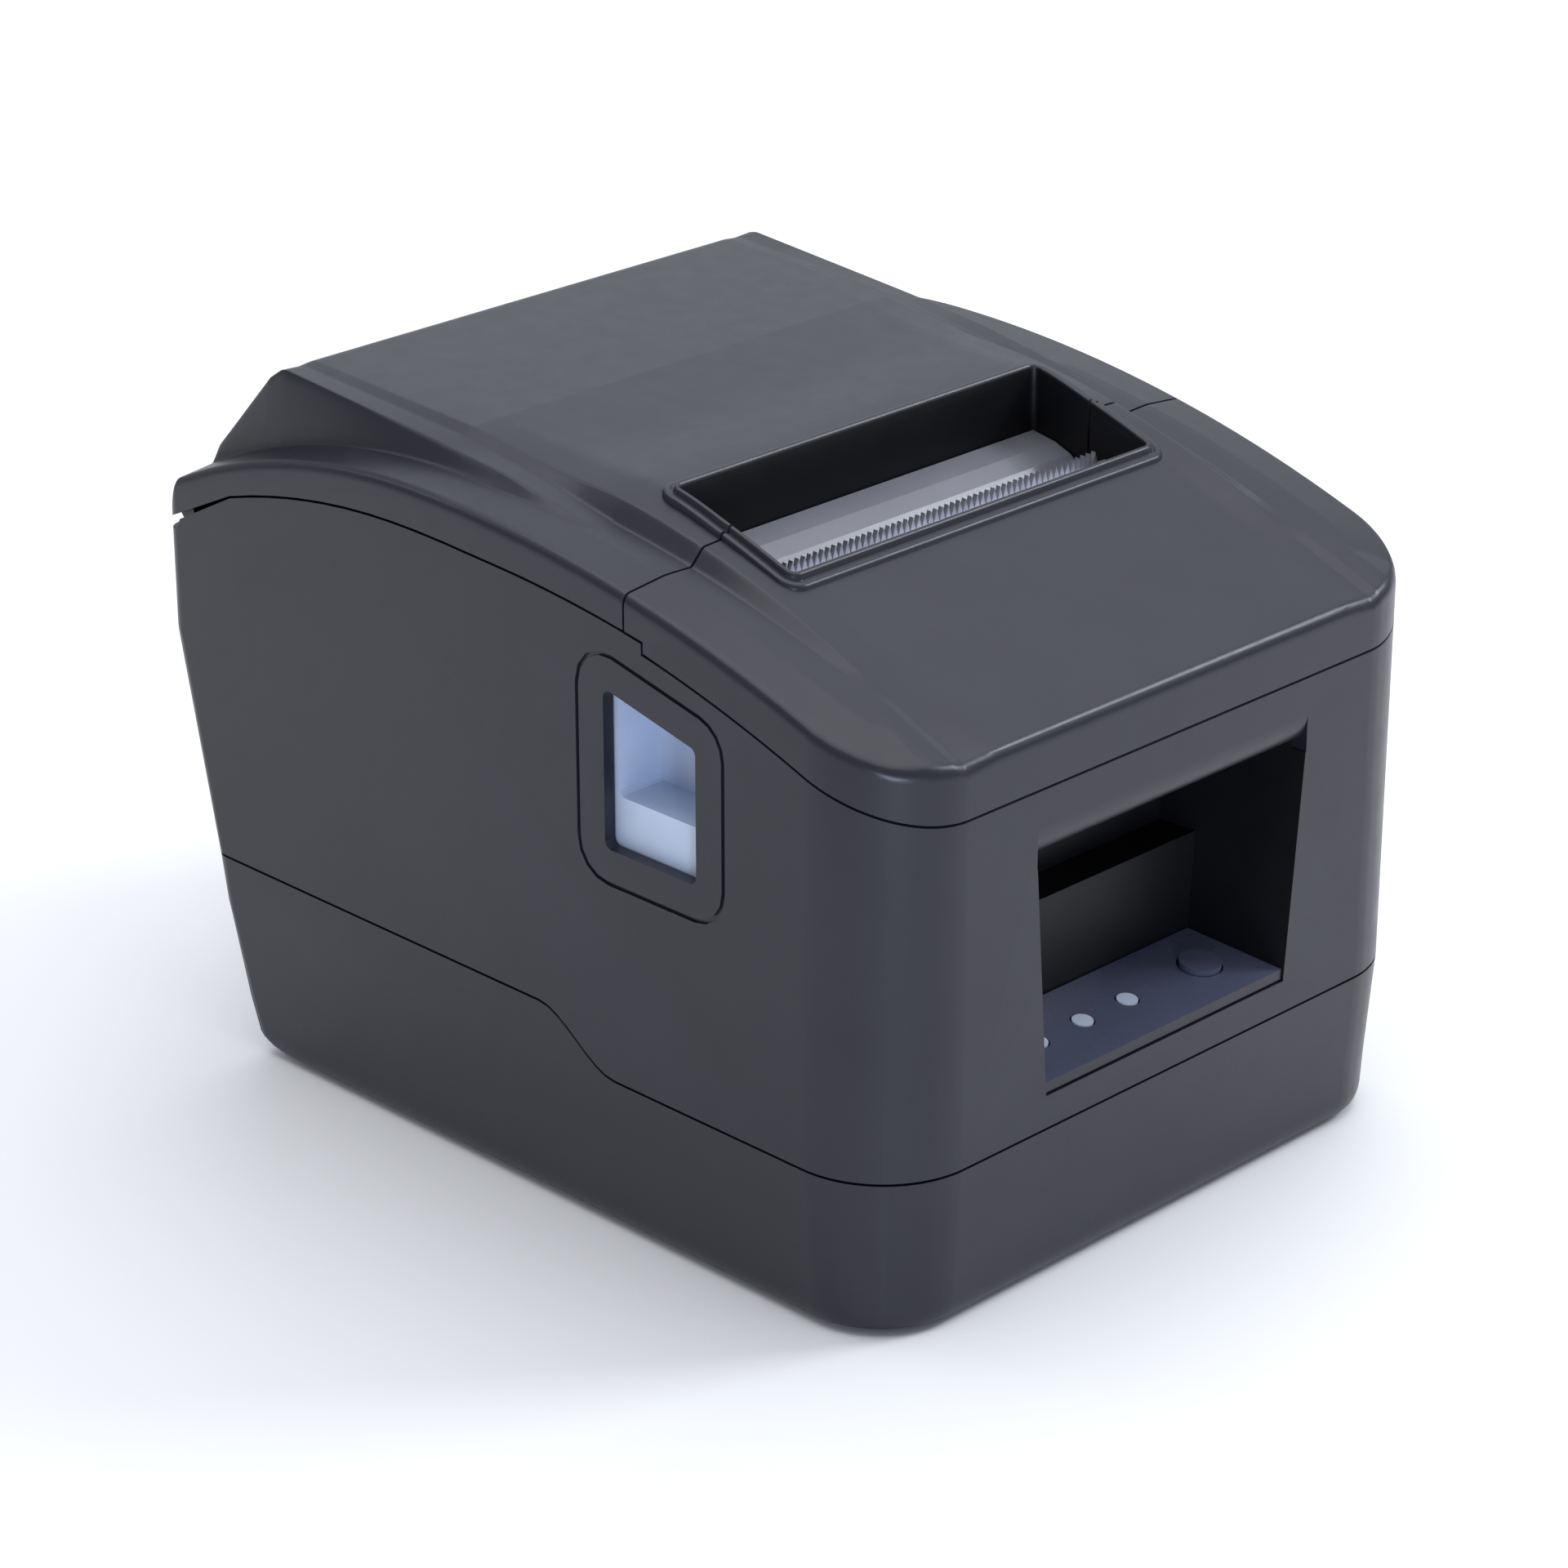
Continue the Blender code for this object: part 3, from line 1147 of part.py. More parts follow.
def build_slot_parts(lid):
    """The serrated tear bar at the front of the slot and the smooth guide behind it."""
    half = TEETH_HALF + 3.0
    back = TEETH_S - 1.0
    profile = [(y_of(SLOT_FRONT + FIT), 121.2), (y_of(SLOT_FRONT + FIT), 118.8), (y_of(back - 1.6), 116.4),
               (y_of(back + 0.5), 116.6), (y_of(back + 0.5), 119.4), (y_of(back - 1.4), 119.2)]
    bar = prism("tear_bar", profile, "X", -half, half)
    pitch = 2 * TEETH_HALF / TEETH_COUNT
    comb = [(-half, 117.0), (half, 117.0), (half, TEETH_TOP - 2.6), (TEETH_HALF, TEETH_TOP - 2.6)]
    for k in range(TEETH_COUNT):
        right = TEETH_HALF - k * pitch
        comb += [(right - pitch / 2, TEETH_TOP), (right - pitch, TEETH_TOP - 2.6)]
    comb.append((-half, TEETH_TOP - 2.6))
    join(bar, prism("comb", comb, "Y", y_of(back), y_of(TEETH_S)))
    finish(bar, GUIDE_GREY)
    rear = SLOT_REAR - FIT
    upper = [(rear, 121.6), (rear - 5.5, 120.7), (rear - 9.5, 119.2), (rear - 12.0, 117.0),
             (JOINT_S + 0.8, 115.0)]
    lower = [(s + 1.3, z - 1.3) for s, z in reversed(upper)]
    lower = [(min(s, rear), max(z, 115.0)) for s, z in lower]
    outline = [(y_of(s), z) for s, z in upper + lower]
    guide = prism("paper_guide", outline, "X", -SLOT_HALF + FIT, SLOT_HALF - FIT)
    finish(guide, GUIDE_GREY, parent=lid, pivot=(0, *hinge_point()))


def build_bucket():
    """The trough that a paper roll drops into."""
    y, z = y_of(DEPTH - ROLL_TO_REAR), ROLL_Z
    half = PAPER_WIDTH / 2 + 1.5

    def trough(radius, top_front, top_rear):
        arc = circle((y, z), radius, 14, math.pi, math.pi)
        return [(y - radius, top_front), *arc, (y + radius, top_rear)]

    outer = ROLL_RADIUS + BUCKET_WALL
    bucket = prism("paper_bucket", trough(outer, 110, 103), "X", -half - BUCKET_WALL, half + BUCKET_WALL)
    cut(bucket, prism("hollow", trough(ROLL_RADIUS, 140, 140), "X", -half, half))
    finish(bucket, CASE_BLACK)


# ---------------------------------------------------------------- electrics

def build_board():
    rear = DEPTH - BOARD_TO_REAR
    board = box("main_board", (-BOARD_HALF, y_of(BOARD_FRONT), BOARD_Z),
                (BOARD_HALF, y_of(rear), BOARD_Z + BOARD_THICK))
    for x, s in chassis_posts():
        cut(board, rod("hole", "Z", (x, y_of(s)), 4.2, 0, 50, 14))
    finish(board, BOARD_GREEN)
    top = BOARD_Z + BOARD_THICK + FIT
    cap = rod("board_capacitor", "Z", (-24, y_of(100)), 6.0, top, top + 14, 20)
    finish(cap, SOCKET_BLACK)
    chip = box("board_processor", (-8, y_of(92), top), (8, y_of(108), top + 1.6))
    finish(chip, SOCKET_BLACK)
    buzzer = rod("buzzer", "Z", (26, y_of(100)), 6.0, top, top + 9, 20)
    cut(buzzer, rod("port", "Z", (26, y_of(100)), 1.2, top + 5, top + 20, 10))
    finish(buzzer, SOCKET_BLACK)
    for name, x, width, height, port in socket_places():
        low = socket_floor()
        face = DEPTH - 16.2
        shell = box(name, (x - width / 2, y_of(face - 15), low), (x + width / 2, y_of(face), low + height))
        middle = low + height / 2
        cut(shell, box("port", (x - port[0] / 2, y_of(face - 10), middle - port[1] / 2),
                       (x + port[0] / 2, y_of(face + 5), middle + port[1] / 2)))
        finish(shell, SOCKET_METAL if name in ("usb_socket", "network_socket") else SOCKET_BLACK)


def main():
    for obj in list(bpy.data.objects):
        bpy.data.objects.remove(obj)
    outer = body("outer_form", 0.0, 0.0, outer_levels())
    inner = body("inner_form", WALL, WALL, inner_levels())
    build_base(outer, inner)
    build_middle(outer, inner)
    build_front_cover(outer, inner)
    lid = build_lid(outer, inner)
    discard(outer)
    discard(inner)
    build_hinge_pins()
    build_feet_and_screws()
    build_panel()
    build_switch()
    build_latch()
    build_gears(lid)
    build_platen(lid)
    build_chassis()
    build_feed_motor()
    build_print_head()
    build_cutter(lid)
    build_slot_parts(lid)
    build_bucket()
    build_board()


main()
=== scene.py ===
"""Looks of the receipt printer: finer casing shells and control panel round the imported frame.

Sizes are in millimetres and make() turns them into metres.
s is the distance back from the front face.
"""

import functools
import math

import bmesh
import bpy
import numpy as np
from mathutils import Matrix, Vector


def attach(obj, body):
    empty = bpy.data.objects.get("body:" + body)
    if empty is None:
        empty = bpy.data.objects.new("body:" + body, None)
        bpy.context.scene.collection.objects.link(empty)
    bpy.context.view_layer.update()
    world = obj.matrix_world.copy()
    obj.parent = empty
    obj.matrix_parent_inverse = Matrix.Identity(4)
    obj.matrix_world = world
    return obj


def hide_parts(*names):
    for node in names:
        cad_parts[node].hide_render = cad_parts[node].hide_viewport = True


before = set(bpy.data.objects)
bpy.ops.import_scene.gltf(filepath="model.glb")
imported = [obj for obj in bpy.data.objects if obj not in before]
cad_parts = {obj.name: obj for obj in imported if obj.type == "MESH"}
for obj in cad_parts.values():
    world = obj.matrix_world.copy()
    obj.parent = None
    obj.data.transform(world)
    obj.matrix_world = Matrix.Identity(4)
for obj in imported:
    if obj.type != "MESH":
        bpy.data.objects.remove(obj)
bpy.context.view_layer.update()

MM = 0.001

# Casing
WIDTH = 145.0
DEPTH = 188.0
FOOT_DROP = 1.5  # casing bottom above the stand surface
WALL = 2.5
FRONT_RADIUS = 19.5  # vertical front corners, in plan
REAR_RADIUS = 4.0
SEAM_GAP = 0.5  # parting gap between two casing shells
FIT = 0.3  # clearance between pieces that stay put
BASE_TAPER = 1.9  # how far the base draws in at its foot, each side

# Heights above the stand surface
LOWER_SEAM_FRONT = 31.2
LOWER_SEAM_REAR = 40.6
SEAM_STEP_START = 66.5  # s, where the lower seam starts to climb
SEAM_STEP_END = 86.0
UPPER_SEAM_FRONT = 96.6
UPPER_SEAM_TOP = 122.4
NOTCH_S = 58.0  # the seam steps up here, just ahead of the joint between cover and lid
NOTCH_RISE = 1.7
NOTCH_DIP = 0.4
FRONT_TOP = 107.0  # rim height at the front face
RIM_TOP = 131.3
RIM_REAR = 115.6
REAR_EDGE = 106.0  # foot of the lid's back edge
HUMP_TOP = 137.9
HUMP_FRONT = 136.0  # where the flat ramp panel meets the hump
KNEE = 83.5  # the back face leans in below this height

# Stations measured from the back face
RIM_TOP_TO_REAR = 70.0
HUMP_CREST_TO_REAR = 24.0
RAMP_END_TO_REAR = 67.0
RIM_END_TO_REAR = 3.5

# Bands of the top, measured in from the side faces
RIDGE_IN = 19.0  # edge of the centre panel
VALLEY_IN = 16.2
HUMP_IN = 11.5
HUMP_FOOT_IN = 9.5
CREST_IN = 1.7
EDGE_FALL = 2.2  # drop of the rounded top edge at the casing's outline

# Hump's back
CREST_RUN = 6.0  # behind the crest the top curves over this distance
CREST_FALL = 3.5  # and falls by this
REAR_PITCH = 1.08  # then it falls by this for each millimetre
LEAN_FROM = 0.6  # share of the depth behind which the outline follows the leaning back face

# A crease is averaged over these steps
EASE_ALONG = (-0.25, 0.0, 0.25)
EASE_ACROSS = (-0.3, -0.15, 0.0, 0.15, 0.3)

# Lid hinge
HINGE_TO_REAR = 2.1
HINGE_Z = 106.9
BARREL_RADIUS = 2.0
BARREL_IN = 4.0  # the lid's barrel stops short of each side face
BARREL_GAP = 0.6  # between the barrel and the middle shell's edge
PIN_RADIUS = 1.0
PIN_LENGTH = 13.0
EAR_WIDTH = 3.0
EAR_X = 59.5

# Paper slot
JOINT_S = 62.5  # lid to front cover
SLOT_HALF = 46.2
SLOT_FRONT = 48.0
SLOT_REAR = 76.3
LIP = 2.5
WELL_BOTTOM = 115.0

# Front recess
RECESS_TOP_HALF = 36.0
RECESS_BOTTOM_HALF = 32.5
RECESS_BOTTOM = 40.0
RECESS_TOP = 84.0
RECESS_DEPTH = 21.0
RECESS_STEP_Z = 61.5
RECESS_UPPER_DEPTH = 29.0
ROLL_HEIGHT = 5.5  # the recess's rolled top lip
ROLL_DEPTH = 3.0
PANEL_SLOPE = math.radians(7.0)
PANEL_THICK = 2.0
LED_PITCH = 12.0
LED_RADIUS = 2.0
LED_FIRST_X = -23.0
BUTTON_X = 21.0
BUTTON_RADIUS = 4.0
PANEL_ROW = 10.5  # distance of the lamps and the button from the panel's front edge

# Opening for the lid lever, in the left side
WINDOW_FRONT = 45.2
WINDOW_REAR = 67.9
WINDOW_BOTTOM = 76.3
WINDOW_TOP_FRONT = 101.5
WINDOW_TOP_REAR = 106.5
RING_MARGIN = 7.0
RING_DEPTH = 0.6
RING_WIDTH = 0.8

# Platen
PLATEN_S = 66.5
PLATEN_Z = 104.5
PLATEN_SHAFT_RADIUS = 2.5
ARM_RADIUS = 3.9  # rounded foot of the lid's arms, round the platen shaft

# Board, feet, screws and switch
BOARD_Z = 10.0
BOARD_THICK = 1.6
FOOT_RADIUS = 7.0
FOOT_SINK = 1.0
SCREW_HEAD_RADIUS = 3.2
SCREW_IN = 15.5
SCREW_S = (30.0, 138.0)
SWITCH_TO_REAR = 33.0
SWITCH_Z = 22.0

HALF = WIDTH / 2


def y_of(s):
    return s - DEPTH / 2


# ---------------------------------------------------------------- mesh helpers

def make(name, points, faces):
    """One mesh object from points in millimetres, triangulated and with its faces pointing out."""
    mesh = bpy.data.meshes.new(name)
    mesh.from_pydata([Vector(p) * MM for p in points], [], faces)
    work = bmesh.new()
    work.from_mesh(mesh)
    bmesh.ops.triangulate(work, faces=work.faces)
    bmesh.ops.recalc_face_normals(work, faces=work.faces)
    work.to_mesh(mesh)
    work.free()
    obj = bpy.data.objects.new(name, mesh)
    bpy.context.scene.collection.objects.link(obj)
    return obj


def prism(name, outline, axis, low, high):
    """An outline extruded along one axis. Its points are (y, z), (x, z) or (x, y) for X, Y or Z."""
    def point(a, b, c):
        return {"X": (c, a, b), "Y": (a, c, b), "Z": (a, b, c)}[axis]

    count = len(outline)
    points = [point(a, b, c) for c in (low, high) for a, b in outline]
    sides = [[i, (i + 1) % count, count + (i + 1) % count, count + i] for i in range(count)]
    return make(name, points, [list(range(count)), list(range(count, 2 * count)), *sides])


def box(name, low, high):
    outline = [(low[0], low[1]), (high[0], low[1]), (high[0], high[1]), (low[0], high[1])]
    return prism(name, outline, "Z", low[2], high[2])


def circle(centre, radius, segments, start=0.0, turn=2 * math.pi):
    """Points on a circle, or on an arc of it where turn is less than a whole turn."""
    steps = segments if turn >= 2 * math.pi else segments + 1
    angles = [start + turn * i / segments for i in range(steps)]
    return [(centre[0] + radius * math.cos(a), centre[1] + radius * math.sin(a)) for a in angles]


def rod(name, axis, centre, radius, low, high, segments=20):
    return prism(name, circle(centre, radius, segments), axis, low, high)


def apply_boolean(target, tool, operation):
    step = target.modifiers.new(operation.lower(), "BOOLEAN")
    step.operation = operation
    step.solver = "EXACT"
    step.object = tool
    bpy.context.view_layer.update()
    graph = bpy.context.evaluated_depsgraph_get()
    shaped = bpy.data.meshes.new_from_object(target.evaluated_get(graph))
    target.modifiers.clear()
    old = target.data
    target.data = shaped
    bpy.data.meshes.remove(old)
    shaped.name = target.name
    return target


def discard(tool):
    mesh = tool.data
    bpy.data.objects.remove(tool)
    bpy.data.meshes.remove(mesh)


def cut(target, *tools):
    for tool in tools:
        apply_boolean(target, tool, "DIFFERENCE")
        discard(tool)
    return target


def join(target, *tools):
    for tool in tools:
        apply_boolean(target, tool, "UNION")
        discard(tool)
    return target


def keep(target, tool):
    apply_boolean(target, tool, "INTERSECT")
    discard(tool)
    return target


def copy_of(obj, name):
    twin = bpy.data.objects.new(name, obj.data.copy())
    bpy.context.scene.collection.objects.link(twin)
    return twin


# ---------------------------------------------------------------- casing surfaces

def arc_height(distance, run, drop):
    """How far a circular arc has fallen at a distance from its top, falling by drop over run."""
    radius = (run * run + drop * drop) / (2 * drop)
    return radius - math.sqrt(max(radius * radius - distance * distance, 0.0))


def rim_height(s):
    top = DEPTH - RIM_TOP_TO_REAR
    if s < top:
        return RIM_TOP - arc_height(top - s, top, RIM_TOP - FRONT_TOP)
    end = DEPTH - RIM_END_TO_REAR
    return RIM_TOP - arc_height(s - top, end - top, RIM_TOP - RIM_REAR)


def upper_seam(s):
    """Height of the seam under the front cover and the lid, ahead of the hinge."""
    top = DEPTH - RIM_TOP_TO_REAR + 2.0
    if s < NOTCH_S:
        step = -NOTCH_DIP * s / NOTCH_S
    else:
        step = NOTCH_RISE * max(1 - (s - NOTCH_S) / 42.0, 0.0)
    if s < top:
        return UPPER_SEAM_TOP - arc_height(top - s, top, UPPER_SEAM_TOP - UPPER_SEAM_FRONT) + step
    return UPPER_SEAM_TOP - arc_height(s - top, seam_arc_end() - top, 7.2)


def seam_arc_end():
    """The seam's arc ends here, and a straight line runs on down to the back edge."""
    return DEPTH - 20.0


def lower_seam(s):
    t = min(max((s - SEAM_STEP_START) / (SEAM_STEP_END - SEAM_STEP_START), 0.0), 1.0)
    return LOWER_SEAM_FRONT + (LOWER_SEAM_REAR - LOWER_SEAM_FRONT) * t * t * (3 - 2 * t)


def crease_s():
    return DEPTH - RAMP_END_TO_REAR


def crest_s():
    return DEPTH - HUMP_CREST_TO_REAR


def rear_slope(s, height):
    """Lowers a height behind the hump's crest, where its back face runs down to the rim's end."""
    start = crest_s() + CREST_RUN
    if s <= start:
        return height - CREST_FALL * max((s - crest_s()) / CREST_RUN, 0.0) ** 2
    return height - CREST_FALL - (s - start) * REAR_PITCH


def smooth_through(s, stations):
    """A smooth curve through the stations, with no overshoot."""
    a = np.array([p for p, _ in stations], float)
    b = np.array([q for _, q in stations], float)
    slope = np.diff(b) / np.diff(a)
    tangent = np.concatenate([[slope[0]], (slope[:-1] + slope[1:]) / 2, [slope[-1]]])
    for i, rise in enumerate(slope):
        limit = 3 * abs(rise)
        tangent[i] = np.clip(tangent[i], -limit, limit)
        tangent[i + 1] = np.clip(tangent[i + 1], -limit, limit)
    k = int(np.clip(np.searchsorted(a, s) - 1, 0, len(slope) - 1))
    width = a[k + 1] - a[k]
    t = min(max((s - a[k]) / width, 0.0), 1.0)
    return float(b[k] * (1 + 2 * t) * (1 - t) ** 2 + tangent[k] * width * t * (1 - t) ** 2
                 + b[k + 1] * t * t * (3 - 2 * t) - tangent[k + 1] * width * t * t * (1 - t))


def through(s, stations):
    return float(np.interp(s, [a for a, _ in stations], [b for _, b in stations]))


def panel_height(s):
    """Top of the centre panel: cover panel, slot surround's foot, ramp and hump."""
    ramp = [
        (0, FRONT_TOP - 0.3), (20, FRONT_TOP + 6.6), (SLOT_FRONT - 3, 123.1), (JOINT_S, 128.9),
        (SLOT_REAR, 132.6), (crease_s() - 20, HUMP_FRONT - 1.9), (crease_s(), HUMP_FRONT),
    ]
    hump = [(crease_s(), HUMP_FRONT), (crest_s(), HUMP_TOP), (DEPTH, HUMP_TOP)]
    return rear_slope(s, smooth_through(s, ramp) if s < crease_s() else through(s, hump))


def ridge_height(s):
    ramp = [
        (0, FRONT_TOP - 1.0), (20, FRONT_TOP + 7.0), (35, 120.2), (SLOT_FRONT + 2, 125.2),
        (JOINT_S, 128.5), (SLOT_REAR + 5, 131.9), (crease_s() - 20, HUMP_FRONT - 2.7),
        (crease_s(), HUMP_FRONT - 0.2),
    ]
    hump = [(crease_s(), HUMP_FRONT - 0.2), (crest_s(), HUMP_TOP), (DEPTH, HUMP_TOP)]
    return rear_slope(s, smooth_through(s, ramp) if s < crease_s() else through(s, hump))


@functools.lru_cache(maxsize=None)
def cross_section(s):
    """Heights across the top at a distance s, from the middle out to one side."""
    rim = rim_height(s)
    across = [
        (0.0, panel_height(s)), (SLOT_HALF, panel_height(s)), (HALF - RIDGE_IN, ridge_height(s)),
        (HALF - VALLEY_IN, valley_height(s) - 0.3), (HALF - HUMP_IN, max(hump_edge(s), rim - 0.3)),
        (HALF - HUMP_FOOT_IN, rim - 0.3), (HALF - CREST_IN, rim - 1.1), (HALF, rim - 1.1),
    ]
    return [a for a, _ in across], [b for _, b in across]


def top_height(x, s):
    """Height of the casing's top, with its creases eased over about half a millimetre."""
    total = 0.0
    for ahead in EASE_ALONG:
        reach, height = cross_section(round(min(max(s + ahead, 0.0), DEPTH), 2))
        total += sum(np.interp([abs(x) + a for a in EASE_ACROSS], reach, height))
    return float(total / (len(EASE_ALONG) * len(EASE_ACROSS)))


def around(*stations):
    """Grid lines close on both sides of each crease."""
    return [a + b for a in stations for b in (-0.6, -0.25, 0.0, 0.25, 0.6)]


def thinned(lines, last):
    """Sorted lines from 0 to last, at least 0.08 apart."""
    out = []
    for line in sorted(lines):
        if 0 <= line <= last and (not out or line - out[-1] > 0.08):
            out.append(line)
    out[-1] = last
    return out


EDGE_LINES = [0.0, 0.1, 0.25, 0.5, 0.8, 1.2, CREST_IN, 2.3]
CORNER_LINES = [3.2, 4.5, 6.0, 7.5, 9.0, 10.5, 12.0, 13.5, 15.0, 16.5, 18.0, FRONT_RADIUS]


def x_lines():
    creases = around(HALF - RIDGE_IN, HALF - VALLEY_IN, HALF - HUMP_IN, HALF - HUMP_FOOT_IN)
    plain = list(np.arange(0.0, HALF - FRONT_RADIUS, 4.0)) + [SLOT_HALF]
    edges = [HALF - a for a in EDGE_LINES + CORNER_LINES]
    positive = thinned(plain + creases + edges, HALF)[1:]
    return [-x for x in reversed(positive)] + [0.0] + positive


def s_lines():
    creases = around(crease_s() - 38.0, crease_s(), crest_s()) + around(crest_s() + CREST_RUN)
    plain = list(np.arange(FRONT_RADIUS + 2.5, DEPTH - 4, 3.0))
    rear = [DEPTH - a for a in (0.0, 0.4, 0.8, 1.2, 1.8, 2.4, 3.0, RIM_END_TO_REAR, 4.2, 5.0)]
    return thinned(EDGE_LINES + CORNER_LINES + creases + plain + rear, DEPTH)


def outer_levels():
    """(height, draw-in, back face) of the casing's plan outlines, from the top down."""
    low = FOOT_DROP
    levels = [
        (KNEE + 1.5, 0.0, DEPTH), (KNEE + 0.6, 0.0, DEPTH - 0.08), (KNEE - 0.6, 0.0, DEPTH - 0.3),
        (LOWER_SEAM_REAR, 0.0, DEPTH - 9.5), (LOWER_SEAM_FRONT, 0.0, DEPTH - 11.2),
        (low + 9.7, BASE_TAPER * 0.75, DEPTH - 14.8),
    ]
    for k in range(7):
        a = math.pi / 2 * k / 6
        levels.append((low + 4.0 * (1 - math.sin(a)), BASE_TAPER * 0.9 + 1.4 * (1 - math.cos(a)),
                       DEPTH - 16.6 - 8.4 * (1 - math.cos(a))))
    return levels


def inner_levels():
    floor = FOOT_DROP + WALL
    return [
        (KNEE, 0.0, DEPTH),
        (LOWER_SEAM_REAR, 0.0, DEPTH - 9.7),
        (LOWER_SEAM_FRONT, 0.0, DEPTH - 11.6),
        (floor + 8.0, BASE_TAPER * 0.75, DEPTH - 15.4),
        (floor, BASE_TAPER, DEPTH - 20.0),
    ]


def hump_tip():
    """The hump's side edge meets the rim here."""
    return crease_s() - 39.0


def hump_edge(s):
    """Side edge of the hump's top, which bends down to the rim at its tip."""
    if s < hump_tip():
        return rim_height(s) - 0.3
    line = through(s, [
        (hump_tip(), rim_height(hump_tip()) - 0.2), (crease_s() - 27, 131.2),
        (crease_s() - 15.5, 133.0), (crease_s() + 2, HUMP_FRONT - 1.4),
        (crest_s(), HUMP_TOP), (DEPTH, HUMP_TOP),
    ])
    return rear_slope(s, line)


def valley_height(s):
    """The line at the foot of the centre panel's side, and behind the crease the hump's own top."""
    if s < hump_tip():
        return rim_height(s) - 0.2
    outer = max(hump_edge(s), rim_height(s) - 0.3)
    share = (RIDGE_IN - VALLEY_IN) / (RIDGE_IN - HUMP_IN)
    facet = ridge_height(s) + (outer - ridge_height(s)) * share
    blend = min(max((s - hump_tip()) / (crease_s() - 3 - hump_tip()), 0.0), 1.0)
    return facet * blend ** 3 + (outer + 0.2) * (1 - blend ** 3)


def edge_drop(distance):
    """How far the rounded top edge has fallen at a distance in from the casing's outline."""
    if distance >= CREST_IN:
        return 0.0
    return EDGE_FALL * (1 - math.sqrt(1 - (1 - distance / CREST_IN) ** 2))


def plan_point(x, s, inset, rear):
    """Moves a point of the square grid on to the rounded plan outline, drawn in by inset."""
    side = math.copysign(1.0, x)
    core = HALF - FRONT_RADIUS
    scale = (FRONT_RADIUS - inset) / FRONT_RADIUS
    reach = abs(x)
    if reach > core:
        reach = core + (reach - core) * scale
    if s < FRONT_RADIUS:
        s = FRONT_RADIUS - (FRONT_RADIUS - s) * scale
    if s > DEPTH - FRONT_RADIUS:
        s = DEPTH - FRONT_RADIUS + (s - DEPTH + FRONT_RADIUS) * scale
    middle = DEPTH * LEAN_FROM
    if s > middle:
        s -= (DEPTH - rear) * (s - middle) / (DEPTH - middle)
    corners = [(core, FRONT_RADIUS, -1)]
    radius = max(REAR_RADIUS - inset, 0.8)
    corners.append((HALF - inset - radius, rear - inset - radius, 1))
    for centre_x, centre_s, way in corners:
        a, b = reach - centre_x, (s - centre_s) * way
        if a > 0 and b > 0:
            far, near = max(a, b), min(a, b)
            turn = math.pi / 4 * near / far
            long, short = far * math.cos(turn), far * math.sin(turn)
            a, b = (long, short) if a >= b else (short, long)
            reach, s = centre_x + a, centre_s + b * way
    return side * reach if x else 0.0, s


def body(name, inset, drop, levels):
    """The whole casing as one solid: a loft of plan outlines under the shaped top."""
    xs, ss = x_lines(), s_lines()
    columns, rows = len(xs), len(ss)

    def next_out(x):
        """The next grid line further out, so that an inner skin keeps its wall at a crease."""
        return min([abs(other) for other in xs if abs(other) > abs(x) + 0.1], default=abs(x))

    points = []
    for j, s in enumerate(ss):
        for i, x in enumerate(xs):
            px, ps = plan_point(x, s, inset, DEPTH)
            height = top_height(x, ps + inset * (ps - DEPTH / 2) / (DEPTH / 2))
            if inset:
                height = min(height, top_height(next_out(x), ps))
            edge = min(HALF - abs(x), s)
            height -= edge_drop(edge) + drop
            if s >= DEPTH - RIM_END_TO_REAR:
                share = (s - DEPTH + RIM_END_TO_REAR) / RIM_END_TO_REAR
                height = min(height, height + (REAR_EDGE - drop - height) * share ** 1.5)
            points.append((px, y_of(ps), height))
    loop = [(i, 0) for i in range(columns - 1)] + [(columns - 1, j) for j in range(rows - 1)]
    loop += [(i, rows - 1) for i in range(columns - 1, 0, -1)]
    loop += [(0, j) for j in range(rows - 1, 0, -1)]
    top_ring = [j * columns + i for i, j in loop]
    faces = [
        [j * columns + i, j * columns + i + 1, (j + 1) * columns + i + 1, (j + 1) * columns + i]
        for j in range(rows - 1) for i in range(columns - 1)
    ]
    above = top_ring
    for z, extra, rear in levels:
        start = len(points)
        for i, j in loop:
            px, ps = plan_point(xs[i], ss[j], inset + extra, rear)
            points.append((px, y_of(ps), z))
        ring = list(range(start, len(points)))
        faces += [[above[k], above[(k + 1) % len(ring)], ring[(k + 1) % len(ring)], ring[k]]
                  for k in range(len(ring))]
        above = ring
    faces.append(above)
    return make(name, points, faces)


def sweep_seam(height, first, last, steps):
    return [(y_of(first + (last - first) * i / steps), height(first + (last - first) * i / steps))
            for i in range(steps + 1)]


def hinge_point():
    return y_of(DEPTH - HINGE_TO_REAR), HINGE_Z


def seam_with_notch(first, last, offset):
    """Side view of the upper seam, moved up by offset, with its step near the joint."""
    notch = NOTCH_S - offset
    ahead = sweep_seam(upper_seam, first, NOTCH_S - 0.001, 14)
    behind = sweep_seam(upper_seam, NOTCH_S, last, 20)
    ahead[-1] = (y_of(notch), ahead[-1][1])
    behind[0] = (y_of(notch), behind[0][1])
    return [(y, z + offset) for y, z in ahead + behind]


def below_upper_seam(name):
    """Side-view region of the middle shell, under the seam and round the hinge barrel."""
    seam = seam_with_notch(0, seam_arc_end(), -SEAM_GAP / 2)
    room = BARREL_RADIUS + BARREL_GAP
    round_barrel = circle(hinge_point(), room, 5, math.pi, math.pi / 2)
    top = [(-DEPTH, seam[0][1]), *seam, *round_barrel, (DEPTH, HINGE_Z - room)]
    return prism(name, [*top, (DEPTH, 0), (-DEPTH, 0)], "X", -WIDTH, WIDTH)


